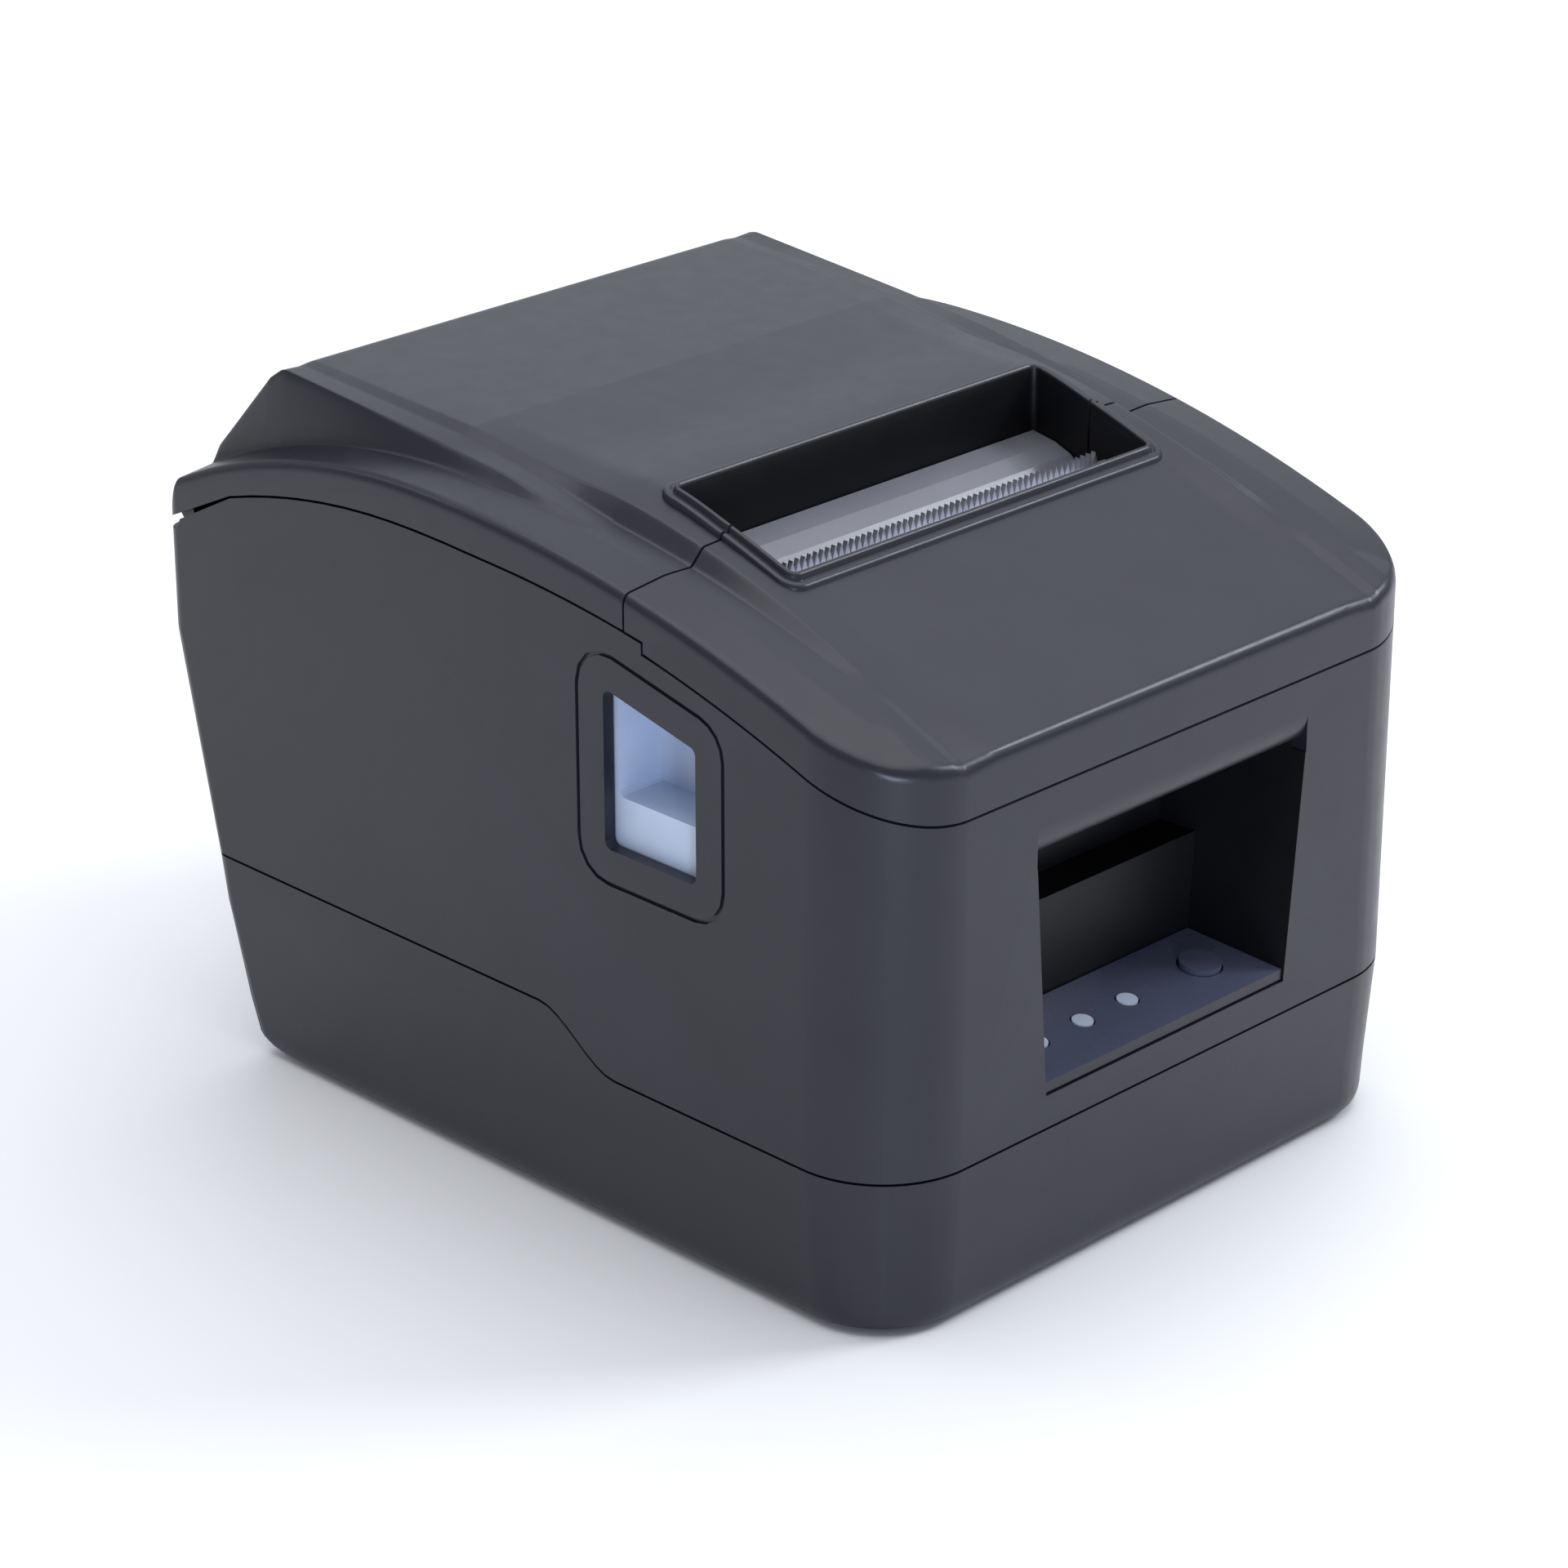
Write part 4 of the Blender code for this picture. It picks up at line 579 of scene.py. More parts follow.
def over_front_cover(name):
    """Side-view region of the front cover, above the seam and ahead of the joint."""
    end = JOINT_S - SEAM_GAP / 2
    seam = seam_with_notch(0, end, SEAM_GAP / 2)
    outline = [(-DEPTH, seam[0][1]), *seam, (y_of(end), 2 * HUMP_TOP), (-DEPTH, 2 * HUMP_TOP)]
    return prism(name, outline, "X", -WIDTH, WIDTH)


def over_lid(name):
    """Side-view region of the lid, behind the joint and above the seam."""
    start = JOINT_S + SEAM_GAP / 2
    seam = sweep_seam(upper_seam, start, seam_arc_end(), 16)
    seam = [(y, z + SEAM_GAP / 2) for y, z in seam]
    beyond = y_of(DEPTH + 3)
    outline = [*seam, (y_of(DEPTH) - 0.2, REAR_EDGE), (beyond, REAR_EDGE), (beyond, 2 * HUMP_TOP)]
    return prism(name, [*outline, (seam[0][0], 2 * HUMP_TOP)], "X", -WIDTH, WIDTH)


def lower_region(name, offset):
    """Side-view region under the lower seam, which steps up towards the back."""
    seam = sweep_seam(lower_seam, SEAM_STEP_START, SEAM_STEP_END, 8)
    seam = [(y, z + offset) for y, z in seam]
    outline = [(-DEPTH, seam[0][1]), *seam, (DEPTH, seam[-1][1]), (DEPTH, -20), (-DEPTH, -20)]
    return prism(name, outline, "X", -WIDTH, WIDTH)


def rounded(corners, radius, steps=4):
    """A polygon, given counter-clockwise, with each corner rounded to an arc."""
    out = []
    count = len(corners)
    for i, corner in enumerate(corners):
        here = Vector(corner)
        before = (Vector(corners[i - 1]) - here).normalized()
        after = (Vector(corners[(i + 1) % count]) - here).normalized()
        half = before.angle(after) / 2
        centre = here + (before + after).normalized() * radius / math.sin(half)
        start = here + before * radius / math.tan(half) - centre
        sweep = math.pi - 2 * half
        for k in range(steps + 1):
            a = sweep * k / steps
            turned = Vector((start.x * math.cos(a) - start.y * math.sin(a),
                             start.x * math.sin(a) + start.y * math.cos(a)))
            out.append(tuple(centre + turned))
    return out


def window_outline(margin, radius):
    """The lever's opening in the side wall, or the ring round it, as (y, z)."""
    slope = (WINDOW_TOP_REAR - WINDOW_TOP_FRONT) / (WINDOW_REAR - WINDOW_FRONT)
    front, rear = WINDOW_FRONT - margin, WINDOW_REAR + margin
    corners = [
        (y_of(front), WINDOW_BOTTOM - margin),
        (y_of(rear), WINDOW_BOTTOM - margin),
        (y_of(rear), WINDOW_TOP_REAR + margin * (1 + slope)),
        (y_of(front), WINDOW_TOP_FRONT + margin * (1 - slope)),
    ]
    return rounded(corners, radius)


def recess_half(s, z):
    """Half width of the front recess, which narrows downwards and inwards."""
    share = (z - RECESS_BOTTOM) / (RECESS_TOP - RECESS_BOTTOM)
    return RECESS_BOTTOM_HALF + (RECESS_TOP_HALF - RECESS_BOTTOM_HALF) * share - 0.14 * max(s, 0)


def panel_top(s):
    return RECESS_BOTTOM + s * math.tan(PANEL_SLOPE)


def wedge(name, front, rear, floor, roof, side_gap=0.0):
    """A block between two stations whose sides follow the recess and whose floor and roof slope."""
    points = []
    for s in (front, rear):
        for z in (floor(s), roof(s)):
            half = recess_half(s, z) - side_gap
            points += [(-half, y_of(s), z), (half, y_of(s), z)]
    faces = [[0, 1, 3, 2], [4, 6, 7, 5], [0, 4, 5, 1], [2, 3, 7, 6], [0, 2, 6, 4], [1, 5, 7, 3]]
    return make(name, points, faces)


def panel_rod(name, x, radius, low, high, segments=20):
    """A round piece square to the control panel, between two heights above its face."""
    centre = Vector((x, y_of(PANEL_ROW), panel_top(PANEL_ROW)))
    piece = rod(name, "Z", (0, 0), radius, low, high, segments)
    turn = Matrix.Rotation(PANEL_SLOPE, 4, "X")
    piece.data.transform(Matrix.Translation(centre * MM) @ turn)
    return piece


def screw_places():
    return [(side * (HALF - SCREW_IN), s) for s in SCREW_S for side in (-1, 1)]


def foot_places():
    return [(side * (HALF - 26.5), s) for s in (18.0, DEPTH - 38.0) for side in (-1, 1)]


def socket_places():
    """x, width and height of the power, data, network and drawer sockets in the base's back."""
    return [(-38.0, 12.0, 12.0), (-15.0, 12.0, 11.0), (9.0, 16.0, 13.5), (33.0, 13.0, 12.0)]


def socket_floor():
    return BOARD_Z + BOARD_THICK + FIT


def switch_hole():
    s = DEPTH - SWITCH_TO_REAR
    return box("switch_hole", (HALF - 8, y_of(s - 10.5), SWITCH_Z - 6.8),
               (HALF + 8, y_of(s + 10.5), SWITCH_Z + 6.8))


# ---------------------------------------------------------------- materials

class Shader:
    """A Principled material and the nodes that feed it."""

    def __init__(self, name, roughness, metallic=0.0, **extra):
        self.material = bpy.data.materials.new(name)
        self.material.use_nodes = True
        self.tree = self.material.node_tree
        self.main = self.tree.nodes["Principled BSDF"]
        self.main.inputs["Roughness"].default_value = roughness
        self.main.inputs["Metallic"].default_value = metallic
        for key, value in extra.items():
            self.main.inputs[key.replace("_", " ")].default_value = value
        self.place = self.tree.nodes.new("ShaderNodeTexCoord").outputs["Object"]

    def node(self, kind, **settings):
        made = self.tree.nodes.new(kind)
        for key, value in settings.items():
            setattr(made, key, value)
        return made

    def link(self, source, target):
        self.tree.links.new(source, target)

    def feed(self, source, name):
        self.link(source, self.main.inputs[name])

    def noise(self, scale, detail=3.0, roughness=0.5, stretch=None):
        made = self.node("ShaderNodeTexNoise")
        made.inputs["Scale"].default_value = scale
        made.inputs["Detail"].default_value = detail
        made.inputs["Roughness"].default_value = roughness
        source = self.place
        if stretch:
            mapping = self.node("ShaderNodeMapping")
            mapping.inputs["Scale"].default_value = stretch
            self.link(self.place, mapping.inputs["Vector"])
            source = mapping.outputs["Vector"]
        self.link(source, made.inputs["Vector"])
        return made.outputs["Fac"]

    def spread(self, source, low, high, first=0.3, last=0.7):
        made = self.node("ShaderNodeMapRange")
        made.inputs["From Min"].default_value = first
        made.inputs["From Max"].default_value = last
        made.inputs["To Min"].default_value = low
        made.inputs["To Max"].default_value = high
        self.link(source, made.inputs["Value"])
        return made.outputs["Result"]

    def blend(self, share, first, second):
        made = self.node("ShaderNodeMix", data_type="RGBA")
        self.link(share, made.inputs["Factor"])
        for value, socket in ((first, made.inputs["A"]), (second, made.inputs["B"])):
            if isinstance(value, tuple):
                socket.default_value = (*value, 1.0)
            else:
                self.link(value, socket)
        return made.outputs["Result"]

    def bump(self, source, strength, distance):
        made = self.node("ShaderNodeBump")
        made.inputs["Strength"].default_value = strength
        made.inputs["Distance"].default_value = distance
        self.link(source, made.inputs["Height"])
        self.feed(made.outputs["Normal"], "Normal")


def moulded(name, colour, roughness, grain, wear=0.0, **extra):
    """Moulded plastic: a fine grain, slow changes of tone and sheen, paler handled edges."""
    shader = Shader(name, roughness, **extra)
    paler = tuple(min(c * 1.12 + 0.001, 1.0) for c in colour)
    tone = shader.blend(shader.spread(shader.noise(60.0, 4.0), 0.0, 1.0), colour, paler)
    if wear:
        edges = shader.node("ShaderNodeNewGeometry").outputs["Pointiness"]
        worn = tuple(c * 2.2 + 0.01 for c in colour)
        tone = shader.blend(shader.spread(edges, 0.0, wear, 0.52, 0.62), tone, worn)
    shader.feed(tone, "Base Color")
    sheen = shader.spread(shader.noise(220.0, 5.0), roughness - 0.02, roughness + 0.03)
    shader.feed(sheen, "Roughness")
    cells = shader.node("ShaderNodeTexVoronoi", feature="SMOOTH_F1")
    cells.inputs["Scale"].default_value = 2600.0
    shader.link(shader.place, cells.inputs["Vector"])
    mixed = shader.node("ShaderNodeMath", operation="ADD")
    shader.link(cells.outputs["Distance"], mixed.inputs[0])
    shader.link(shader.noise(1500.0, 2.0), mixed.inputs[1])
    shader.bump(mixed.outputs["Value"], grain, 0.00006)
    return shader.material


def metal(name, colour, roughness, stretch, strength=0.12):
    """Ground or rolled metal: scratches along one direction and a little tarnish."""
    shader = Shader(name, roughness, 1.0)
    duller = tuple(c * 0.78 for c in colour)
    tarnish = shader.spread(shader.noise(60.0, 5.0), 0.0, 1.0)
    shader.feed(shader.blend(tarnish, colour, duller), "Base Color")
    lines = shader.noise(400.0, 3.0, 0.6, stretch)
    shader.feed(shader.spread(lines, roughness - 0.08, roughness + 0.12), "Roughness")
    shader.bump(lines, strength, 0.00004)
    return shader.material


def rubber(name, colour, roughness=0.8):
    shader = Shader(name, roughness)
    paler = tuple(c * 1.5 + 0.003 for c in colour)
    tone = shader.spread(shader.noise(120.0, 6.0), 0.0, 1.0)
    shader.feed(shader.blend(tone, colour, paler), "Base Color")
    shader.feed(shader.spread(shader.noise(300.0), roughness - 0.1, roughness + 0.1), "Roughness")
    shader.bump(shader.noise(2200.0, 4.0), 0.35, 0.00008)
    return shader.material


def circuit(name):
    """Solder mask over copper traces, with tinned pads."""
    shader = Shader(name, 0.35)
    traces = shader.node("ShaderNodeTexBrick", offset=0.35, squash=1.4, squash_frequency=3)
    traces.inputs["Scale"].default_value = 90.0
    traces.inputs["Mortar Size"].default_value = 0.045
    traces.inputs["Color1"].default_value = (0.012, 0.1, 0.04, 1.0)
    traces.inputs["Color2"].default_value = (0.016, 0.12, 0.045, 1.0)
    traces.inputs["Mortar"].default_value = (0.03, 0.2, 0.07, 1.0)
    shader.link(shader.place, traces.inputs["Vector"])
    pads = shader.node("ShaderNodeTexVoronoi")
    pads.inputs["Scale"].default_value = 160.0
    shader.link(shader.place, pads.inputs["Vector"])
    share = shader.spread(pads.outputs["Distance"], 1.0, 0.0, 0.1, 0.14)
    shader.feed(shader.blend(share, traces.outputs["Color"], (0.55, 0.53, 0.48)), "Base Color")
    shader.bump(traces.outputs["Fac"], 0.3, 0.00005)
    return shader.material


CASE = moulded("satin_case_black", (0.013, 0.0131, 0.0195), 0.34, 0.12,
               wear=0.1, Specular_IOR_Level=0.42)
# painted shade: a near-black copy of the case plastic for the walls inside the front recess and the
# paper slot's well, where shade falls
PAINTED_SHADE_INSIDE = moulded("inner_black_painted_shade", (0.0035, 0.0035, 0.005), 0.42, 0.06, Specular_IOR_Level=0.3)
LEVER = moulded("lever_pale_blue", (0.47, 0.55, 0.69), 0.42, 0.08)
LABEL = moulded("panel_navy_label", (0.07, 0.08, 0.125), 0.28, 0.02)
BUTTON = moulded("button_navy", (0.07, 0.08, 0.127), 0.28, 0.02)
LENS = moulded("lens_milk", (0.62, 0.63, 0.74), 0.22, 0.03, Subsurface_Weight=0.25, Coat_Weight=0.5)
SMOOTH = moulded("guide_smooth_grey", (0.15, 0.153, 0.18), 0.24, 0.02,
                 Coat_Weight=0.4, Coat_Roughness=0.15)
NYLON = moulded("natural_nylon", (0.78, 0.76, 0.7), 0.42, 0.1)
ACETAL = moulded("black_acetal", (0.03, 0.03, 0.032), 0.36, 0.06)
SOCKET = moulded("socket_black", (0.018, 0.018, 0.02), 0.45, 0.15)
TEETH = metal("tear_bar_steel", (0.5, 0.51, 0.56), 0.42, (1.0, 1.0, 12.0))
SHEET = metal("zinc_sheet", (0.52, 0.53, 0.55), 0.36, (1.0, 8.0, 1.0))
STEEL = metal("ground_steel", (0.66, 0.66, 0.68), 0.24, (14.0, 1.0, 1.0))
ALUMINIUM = metal("extruded_aluminium", (0.6, 0.61, 0.62), 0.38, (1.0, 10.0, 10.0))
CAN = metal("motor_can", (0.3, 0.3, 0.31), 0.34, (1.0, 1.0, 6.0))
SHELL = metal("socket_shell_steel", (0.62, 0.62, 0.62), 0.3, (6.0, 1.0, 1.0))
ROLLER = rubber("platen_rubber", (0.022, 0.022, 0.024), 0.7)
FOOT = rubber("foot_rubber", (0.016, 0.016, 0.016), 0.85)
BOARD = circuit("board_green")


# ---------------------------------------------------------------- finishing

SMOOTH_ANGLE = math.radians(32)  # an edge sharper than this breaks the shading
BEVEL_ANGLE = math.radians(38)  # and one sharper than this is rounded
FLAT_ANGLE = math.radians(0.15)  # faces closer than this to one plane become one face
NORMAL_WEIGHT = 80


def smooth_group():
    """Shades faces smooth, apart from edges over SMOOTH_ANGLE."""
    group = bpy.data.node_groups.new("smooth_by_angle", "GeometryNodeTree")
    group.interface.new_socket("Geometry", in_out="INPUT", socket_type="NodeSocketGeometry")
    group.interface.new_socket("Geometry", in_out="OUTPUT", socket_type="NodeSocketGeometry")
    nodes, link = group.nodes, group.links.new
    start, end = nodes.new("NodeGroupInput"), nodes.new("NodeGroupOutput")
    faces, edges = nodes.new("GeometryNodeSetShadeSmooth"), nodes.new("GeometryNodeSetShadeSmooth")
    faces.domain, edges.domain = "FACE", "EDGE"
    faces.inputs["Shade Smooth"].default_value = True
    edges.inputs["Shade Smooth"].default_value = False
    angle, sharp = nodes.new("GeometryNodeInputMeshEdgeAngle"), nodes.new("FunctionNodeCompare")
    sharp.operation = "GREATER_THAN"
    sharp.inputs["B"].default_value = SMOOTH_ANGLE
    link(angle.outputs["Unsigned Angle"], sharp.inputs["A"])
    link(sharp.outputs["Result"], edges.inputs["Selection"])
    link(start.outputs["Geometry"], faces.inputs["Geometry"])
    link(faces.outputs["Geometry"], edges.inputs["Geometry"])
    link(edges.outputs["Geometry"], end.inputs["Geometry"])
    return group


SMOOTH_BY_ANGLE = smooth_group()


def soften(obj, width, segments=2, flatten=False):
    """Rounds the edges by width millimetres and shades what is left smooth."""
    if flatten:
        flat = obj.modifiers.new("one_face_per_plane", "DECIMATE")
        flat.decimate_type = "DISSOLVE"
        flat.angle_limit = FLAT_ANGLE
    if width:
        bevel = obj.modifiers.new("edges", "BEVEL")
        bevel.width = width * MM
        bevel.segments = segments
        bevel.limit_method = "ANGLE"
        bevel.angle_limit = BEVEL_ANGLE
        bevel.use_clamp_overlap = True
        bevel.miter_outer = "MITER_ARC"
    obj.modifiers.new("smooth", "NODES").node_group = SMOOTH_BY_ANGLE
    even = obj.modifiers.new("even_shading", "WEIGHTED_NORMAL")
    even.keep_sharp = True
    even.weight = NORMAL_WEIGHT


def finish(obj, surface, node, body, width=0.25, segments=2):
    """A finer piece that stands for a CAD node."""
    obj.name = "fine_" + node
    obj.data.materials.clear()
    obj.data.materials.append(surface)
    soften(obj, width, segments, flatten=True)
    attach(obj, body)
    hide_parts(node)
    return obj


def line_with(obj, surface, inside):
    """Gives a second material to the faces that inside(x, s, z, normal) picks by their middle."""
    obj.data.materials.append(surface)
    for face in obj.data.polygons:
        x, y, z = (c / MM for c in face.center)
        if inside(x, y + DEPTH / 2, z, face.normal):
            face.material_index = len(obj.data.materials) - 1


# ---------------------------------------------------------------- casing

painted_shade_later = []  # (shell, region) pairs; the region's faces get the painted shade material once every shell is cut


def rounded_ring(gap, steps=6):
    """Plan outline (x, s) at a distance outside the slot's opening."""
    radius = 1.2 + max(gap, 0.0) * 0.9
    corners = [
        (-SLOT_HALF - gap, SLOT_FRONT - gap), (SLOT_HALF + gap, SLOT_FRONT - gap),
        (SLOT_HALF + gap, SLOT_REAR + gap), (-SLOT_HALF - gap, SLOT_REAR + gap),
    ]
    outline = rounded(corners, radius, steps)
    dense = []
    for i, (x, s) in enumerate(outline):
        next_x, next_s = outline[(i + 1) % len(outline)]
        pieces = 14 if math.hypot(next_x - x, next_s - s) > 12 else 1
        dense += [(x + (next_x - x) * k / pieces, s + (next_s - s) * k / pieces)
                  for k in range(pieces)]
    return dense


def slot_surround(name):
    """The raised double lip round the paper slot, and its wall down into the casing."""
    section = [  # gap from the opening and lift above the panel, where None is the well's bottom
        (0.0, None), (0.0, 1.2), (0.1, 1.55), (0.35, 1.75), (0.65, 1.75), (0.9, 1.6),
        (1.05, 1.3), (1.15, 0.8), (1.3, 0.62), (1.6, 0.62), (1.8, 0.85), (2.05, 0.95),
        (2.5, 0.92), (2.8, 0.75), (3.0, 0.35), (3.1, -0.6), (3.1, None),
    ]
    rings = []
    for gap, lift in section:
        ring = []
        for x, s in rounded_ring(gap):
            height = WELL_BOTTOM if lift is None else smooth_panel(s) + lift
            ring.append((x, y_of(s), height))
        rings.append(ring)
    count = len(rings[0])
    faces = []
    for r in range(len(rings)):
        other = (r + 1) % len(rings)
        for i in range(count):
            after = (i + 1) % count
            faces.append([r * count + i, r * count + after,
                          other * count + after, other * count + i])
    return make(name, [p for ring in rings for p in ring], faces)


def smooth_panel(s):
    return (panel_height(s - 0.6) + panel_height(s) + panel_height(s + 0.6)) / 3


def slot_opening():
    """Everything inside the slot's opening, from well under the casing's top."""
    ring = rounded_ring(-0.01)
    outline = [(x, y_of(s)) for x, s in ring]
    return prism("slot_opening", outline, "Z", WELL_BOTTOM - 1, 2 * HUMP_TOP)


def in_slot(x, s, z, normal):
    inside = abs(x) < SLOT_HALF + 0.3 and SLOT_FRONT - 0.3 < s < SLOT_REAR + 0.3
    return inside and abs(normal.z) < 0.3 and z < panel_height(s) + 1.0


def build_front_cover(outer, inner):
    end = JOINT_S - SEAM_GAP / 2
    cover = copy_of(outer, "front_cover")
    keep(cover, over_front_cover("over"))
    cut(cover, copy_of(inner, "cavity"))
    cut(cover, slot_opening())
    front_half = box("ahead", (-WIDTH, -DEPTH, 0), (WIDTH, y_of(end), 2 * HUMP_TOP))
    join(cover, keep(slot_surround("surround"), front_half))
    painted_shade_later.append((cover, in_slot))
    return finish(cover, CASE, "front_cover", "printer", 0.3, 3)


def build_lid(outer, inner):
    start = JOINT_S + SEAM_GAP / 2
    y, z = hinge_point()
    lid = copy_of(outer, "paper_lid")
    keep(lid, over_lid("over"))
    cut(lid, copy_of(inner, "cavity"))
    join(lid, rod("barrel", "X", (y, z), BARREL_RADIUS, -HALF + BARREL_IN, HALF - BARREL_IN, 28))
    cut(lid, slot_opening())
    rear_half = box("behind", (-WIDTH, y_of(start), 0), (WIDTH, DEPTH, 2 * HUMP_TOP))
    join(lid, keep(slot_surround("surround"), rear_half))
    arm = [(y_of(JOINT_S + 1.2), WELL_BOTTOM + 1),
           *circle((y_of(PLATEN_S), PLATEN_Z), ARM_RADIUS, 20, math.pi, math.pi),
           (y_of(SLOT_REAR + LIP), WELL_BOTTOM + 1)]
    for side in (-1, 1):
        low, high = sorted((side * (SLOT_HALF + 0.2), side * (SLOT_HALF + LIP)))
        join(lid, prism("arm", arm, "X", low, high))
    bore = PLATEN_SHAFT_RADIUS + FIT
    cut(lid, rod("shaft_bore", "X", (y_of(PLATEN_S), PLATEN_Z), bore, -60, 60, 32))
    for ear_x in (-EAR_X, EAR_X):
        low, high = ear_x - EAR_WIDTH / 2 - 0.5, ear_x + EAR_WIDTH / 2 + 0.5
        gap = BARREL_RADIUS + 0.4
        cut(lid, box("ear_slot", (low, y - gap, z - 9), (high, y + 9, z + gap)))
        reach = PIN_LENGTH / 2 + 0.5
        cut(lid, rod("pin_bore", "X", (y, z), PIN_RADIUS + 0.1, ear_x - reach, ear_x + reach, 20))
    painted_shade_later.append((lid, in_slot))
    return finish(lid, CASE, "paper_lid", "lid", 0.3, 3)


def build_base(outer, inner):
    base = copy_of(outer, "base_shell")
    keep(base, lower_region("below", -SEAM_GAP / 2))
    cut(base, copy_of(inner, "cavity"))
    for x, s in screw_places():
        cut(base, rod("head", "Z", (x, y_of(s)), SCREW_HEAD_RADIUS + FIT, 0, FOOT_DROP + 4.0, 28))
    for x, s in foot_places():
        cut(base, rod("pocket", "Z", (x, y_of(s)), FOOT_RADIUS + FIT, 0, FOOT_DROP + FOOT_SINK, 40))
    for x, width, height in socket_places():
        low = socket_floor() - FIT
        cut(base, box("port", (x - width / 2 - FIT, y_of(DEPTH - 26), low),
                      (x + width / 2 + FIT, DEPTH, low + height + 2 * FIT)))
    cut(base, switch_hole())
    return finish(base, CASE, "base_shell", "printer", 0.25, 2)


def in_recess(x, s, z, _normal):
    within_depth = 0.4 < s < RECESS_UPPER_DEPTH + 0.5
    within_height = RECESS_BOTTOM - 4 < z < RECESS_TOP + 0.3
    return abs(x) < recess_half(s, z) + 0.4 and within_depth and within_height


def build_middle(outer, inner):
    middle = copy_of(outer, "middle_shell")
    cut(middle, lower_region("below", SEAM_GAP / 2))
    keep(middle, below_upper_seam("under"))
    cut(middle, copy_of(inner, "cavity"))
    side = RECESS_TOP_HALF + 2.0
    join(middle, box("recess_box", (-side, y_of(WALL - 1), RECESS_BOTTOM - 5.0),
                     (side, y_of(RECESS_UPPER_DEPTH + 2), RECESS_TOP + 4.5)))
    cut(middle,
        wedge("lower", -1, RECESS_DEPTH, lambda s: panel_top(s) - PANEL_THICK - FIT,
              lambda s: RECESS_STEP_Z + 1),
        wedge("upper", -1, RECESS_UPPER_DEPTH, lambda s: RECESS_STEP_Z, lambda s: RECESS_TOP))
    turns = [math.pi / 2 * k / 10 for k in range(11)]
    rolled = [(y_of(-1.0), RECESS_TOP + ROLL_HEIGHT)]
    rolled += [(y_of(ROLL_DEPTH * (1 - math.cos(a))), RECESS_TOP + ROLL_HEIGHT * (1 - math.sin(a)))
               for a in turns]
    rolled += [(y_of(ROLL_DEPTH), RECESS_TOP - 2), (y_of(-1.0), RECESS_TOP - 2)]
    half = recess_half(1.0, RECESS_TOP)
    cut(middle, prism("rolled_lip", rolled, "X", -half, half))
    for x in [LED_FIRST_X + i * LED_PITCH for i in range(3)]:
        cut(middle, panel_rod("lamp_hole", x, LED_RADIUS + 2 * FIT, -12, 0, 24))
    cut(middle, panel_rod("button_hole", BUTTON_X, BUTTON_RADIUS + FIT, -12, 0, 32))
    cut(middle, prism("window", window_outline(0.0, 1.5), "X", -HALF - 1, -HALF + WALL + 2))
    ring = prism("ring", window_outline(RING_MARGIN, 7.5), "X", -HALF - 1, -HALF + RING_DEPTH)
    island = prism("island", window_outline(RING_MARGIN - RING_WIDTH, 6.8), "X", -HALF - 2, HALF)
    cut(middle, cut(ring, island))
    y, z = hinge_point()
    for ear_x in (-EAR_X, EAR_X):
        low, high = ear_x - EAR_WIDTH / 2, ear_x + EAR_WIDTH / 2
        foot = [(y - BARREL_RADIUS, z), (y - BARREL_RADIUS, z - 8), (y, z - 12), (y + 1.2, z - 12),
                (y + 1.2, z - 4), (y + BARREL_RADIUS, z - 2), (y + BARREL_RADIUS, z)]
        eye = rod("eye", "X", (y, z), BARREL_RADIUS, low, high, 28)
        join(middle, join(prism("ear", foot, "X", low, high), eye))
    painted_shade_later.append((middle, in_recess))
    return finish(middle, CASE, "middle_shell", "printer", 0.3, 2)


def build_panel():
    """The control panel: a navy label on a strip of the casing's own plastic."""
    panel = wedge("control_panel", 0.4, RECESS_DEPTH - FIT,
                  lambda s: panel_top(s) - PANEL_THICK, panel_top, FIT)
    for number in range(3):
        cut(panel, panel_rod("hole", LED_FIRST_X + number * LED_PITCH, LED_RADIUS + FIT, -5, 5, 32))
    cut(panel, panel_rod("hole", BUTTON_X, BUTTON_RADIUS + FIT, -5, 5, 48))
    finish(panel, CASE, "control_panel", "printer", 0.15, 2)
    line_with(panel, LABEL, lambda x, s, z, normal: normal.z > 0.7)


build_panel()
outer_form = body("outer_form", 0.0, 0.0, outer_levels())
inner_form = body("inner_form", WALL, WALL, inner_levels())
build_base(outer_form, inner_form)
build_middle(outer_form, inner_form)
build_front_cover(outer_form, inner_form)
build_lid(outer_form, inner_form)
discard(outer_form)
discard(inner_form)
# painted shade: the faces inside the front recess and the slot's well get the near-black material
for shaded_shell, region in painted_shade_later:
    line_with(shaded_shell, PAINTED_SHADE_INSIDE, region)


# ---------------------------------------------------------------- CAD nodes that stay

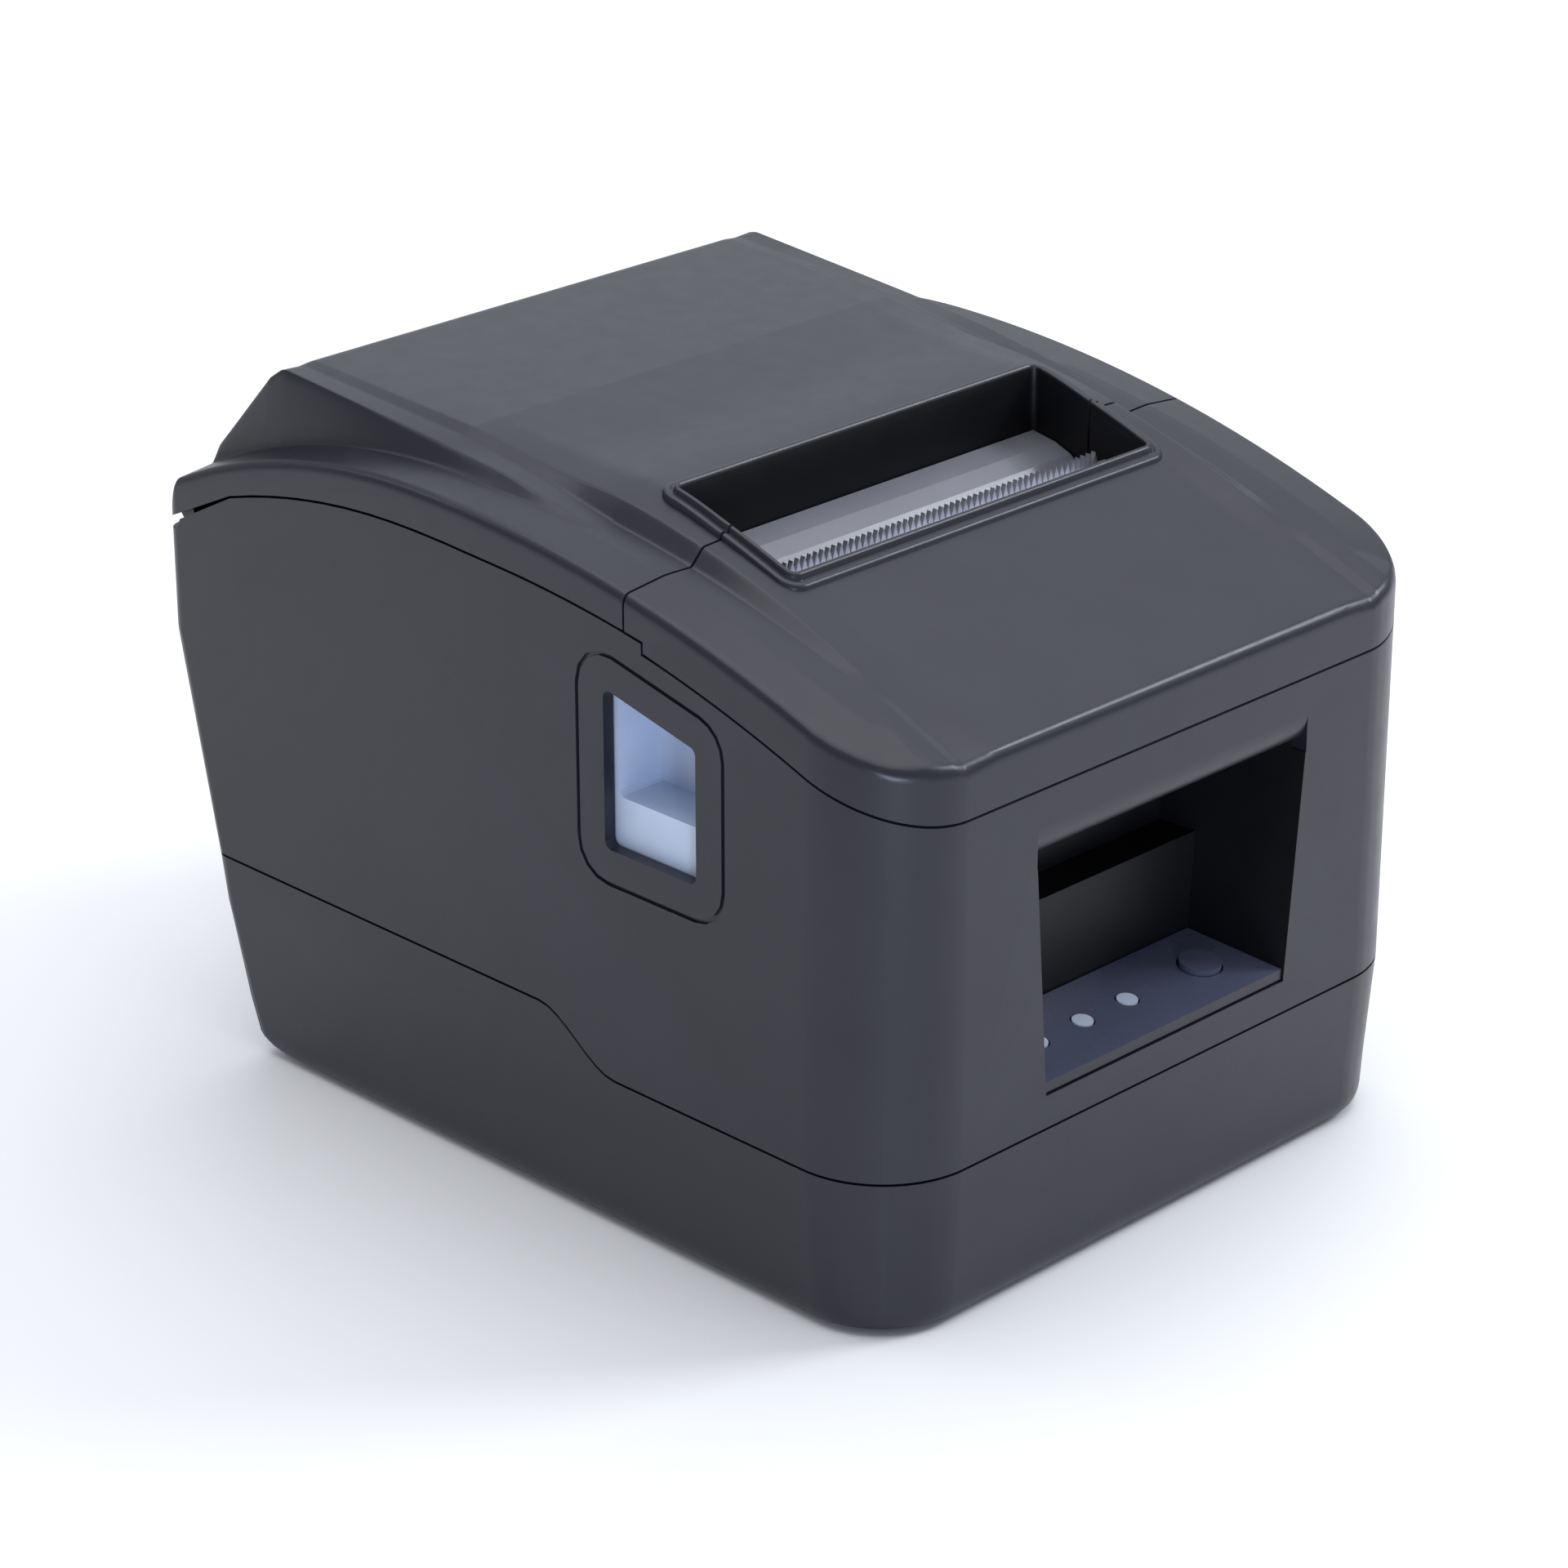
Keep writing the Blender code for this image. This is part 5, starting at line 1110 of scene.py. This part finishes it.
KEPT = {  # node: its material and the width of its bevel
    "open_lever": (LEVER, 0.5), "feed_button": (BUTTON, 0.5), "status_lamp_1": (LENS, 0.2),
    "status_lamp_2": (LENS, 0.2), "status_lamp_3": (LENS, 0.2), "tear_bar": (TEETH, 0.0),
    "paper_guide": (SMOOTH, 0.3), "thermal_head": (ACETAL, 0.2),
    "head_heatsink": (ALUMINIUM, 0.15), "head_cable": (LENS, 0.0),
    "head_spring_left": (STEEL, 0.0), "head_spring_right": (STEEL, 0.0), "chassis": (SHEET, 0.2),
    "cutter_frame": (SHEET, 0.2), "latch_shaft": (STEEL, 0.3), "latch_hook_left": (SHEET, 0.15),
    "latch_hook_right": (SHEET, 0.15), "hinge_pin_left": (STEEL, 0.2),
    "hinge_pin_right": (STEEL, 0.2), "platen_shaft": (STEEL, 0.3), "idler_axle": (STEEL, 0.2),
    "motor_shaft": (STEEL, 0.2), "motor_pinion": (STEEL, 0.05), "cutter_blade": (STEEL, 0.05),
    "counter_blade": (STEEL, 0.1), "platen_roller": (ROLLER, 0.3), "platen_gear": (NYLON, 0.06),
    "idler_gear": (NYLON, 0.06), "cutter_crank": (NYLON, 0.15), "platen_bush_left": (ACETAL, 0.2),
    "platen_bush_right": (ACETAL, 0.2), "main_board": (BOARD, 0.0),
    "board_capacitor": (SOCKET, 0.5), "board_processor": (SOCKET, 0.1), "buzzer": (SOCKET, 0.3),
    "power_socket": (SOCKET, 0.3), "drawer_socket": (SOCKET, 0.3), "usb_socket": (SHELL, 0.2),
    "network_socket": (SHELL, 0.2), "power_switch_frame": (SOCKET, 0.4),
    "power_rocker": (SOCKET, 0.5), "paper_bucket": (CASE, 0.4), "feed_motor": (CAN, 0.5),
    "cutter_motor": (CAN, 0.5),
}
for number in (1, 2, 3, 4):
    KEPT[f"rubber_foot_{number}"] = (FOOT, 0.4)
    KEPT[f"case_screw_{number}"] = (SHEET, 0.15)
for node, (surface, width) in KEPT.items():
    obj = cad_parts[node]
    obj.data.materials.clear()
    obj.data.materials.append(surface)
    soften(obj, width)


# ---------------------------------------------------------------- floor, light and camera

FLOOR_HALF = 20000


def stage_floor():
    points = [(x * FLOOR_HALF, y * FLOOR_HALF, 0) for x, y in ((-1, -1), (1, -1), (1, 1), (-1, 1))]
    floor = make("studio_floor", points, [[0, 1, 2, 3]])
    shader = Shader("floor_paper", 0.6)
    tone = shader.spread(shader.noise(3.0, 3.0), 0.0, 1.0)
    shader.feed(shader.blend(tone, (0.93, 0.93, 0.93), (0.95, 0.95, 0.95)), "Base Color")
    shader.bump(shader.noise(800.0), 0.03, 0.0001)
    floor.data.materials.append(shader.material)


def area_light(name, place, target, size, power, colour=(1.0, 1.0, 1.0)):
    lamp = bpy.data.lights.new(name, "AREA")
    lamp.shape = "RECTANGLE"
    lamp.size, lamp.size_y = size
    lamp.energy = power
    lamp.color = colour
    obj = bpy.data.objects.new(name, lamp)
    obj.location = place
    obj.rotation_euler = (Vector(target) - Vector(place)).to_track_quat("-Z", "Y").to_euler()
    obj.visible_camera = False
    bpy.context.scene.collection.objects.link(obj)


def studio():
    stage_floor()
    world = bpy.data.worlds.new("studio")
    world.use_nodes = True
    background = world.node_tree.nodes["Background"]
    background.inputs["Color"].default_value = (0.9, 0.93, 1.0, 1.0)
    background.inputs["Strength"].default_value = 0.42
    bpy.context.scene.world = world
    bpy.context.scene.view_settings.view_transform = "Standard"
    area_light("overhead", (0.1, 0.1, 2.2), (0, 0, 0),
               (2.6, 2.6), 42.0, (0.96, 0.97, 1.0))
    area_light("rear_right_box", (1.15, 0.75, 0.95), (0, 0, 0.08),
               (1.5, 1.3), 4.0, (0.84, 0.88, 1.0))
    area_light("corner_strip", (-0.85, -1.25, 0.14), (-0.06, -0.09, 0.06),
               (0.14, 0.26), 7.0, (0.66, 0.76, 1.0))
    area_light("front_edge", (1.1, -0.7, 1.05), (0, -0.08, 0.1),
               (0.45, 0.45), 11.0, (0.88, 0.92, 1.0))
    area_light("side_edge", (-0.6, 1.1, 1.05), (-0.07, 0, 0.1),
               (0.4, 0.4), 1.2, (0.88, 0.92, 1.0))


def camera():
    lens = bpy.data.cameras.new("photo_view")
    lens.lens = 110.7
    lens.sensor_width = 36.0
    lens.sensor_fit = "HORIZONTAL"
    lens.clip_end = 20.0
    obj = bpy.data.objects.new("photo_view", lens)
    place, target = Vector((-0.59246, -0.58682, 0.42168)), Vector((0.0, 0.0021, 0.0573))
    obj.location = place
    obj.rotation_euler = (target - place).to_track_quat("-Z", "Y").to_euler()
    bpy.context.scene.collection.objects.link(obj)
    bpy.context.scene.camera = obj


studio()
camera()
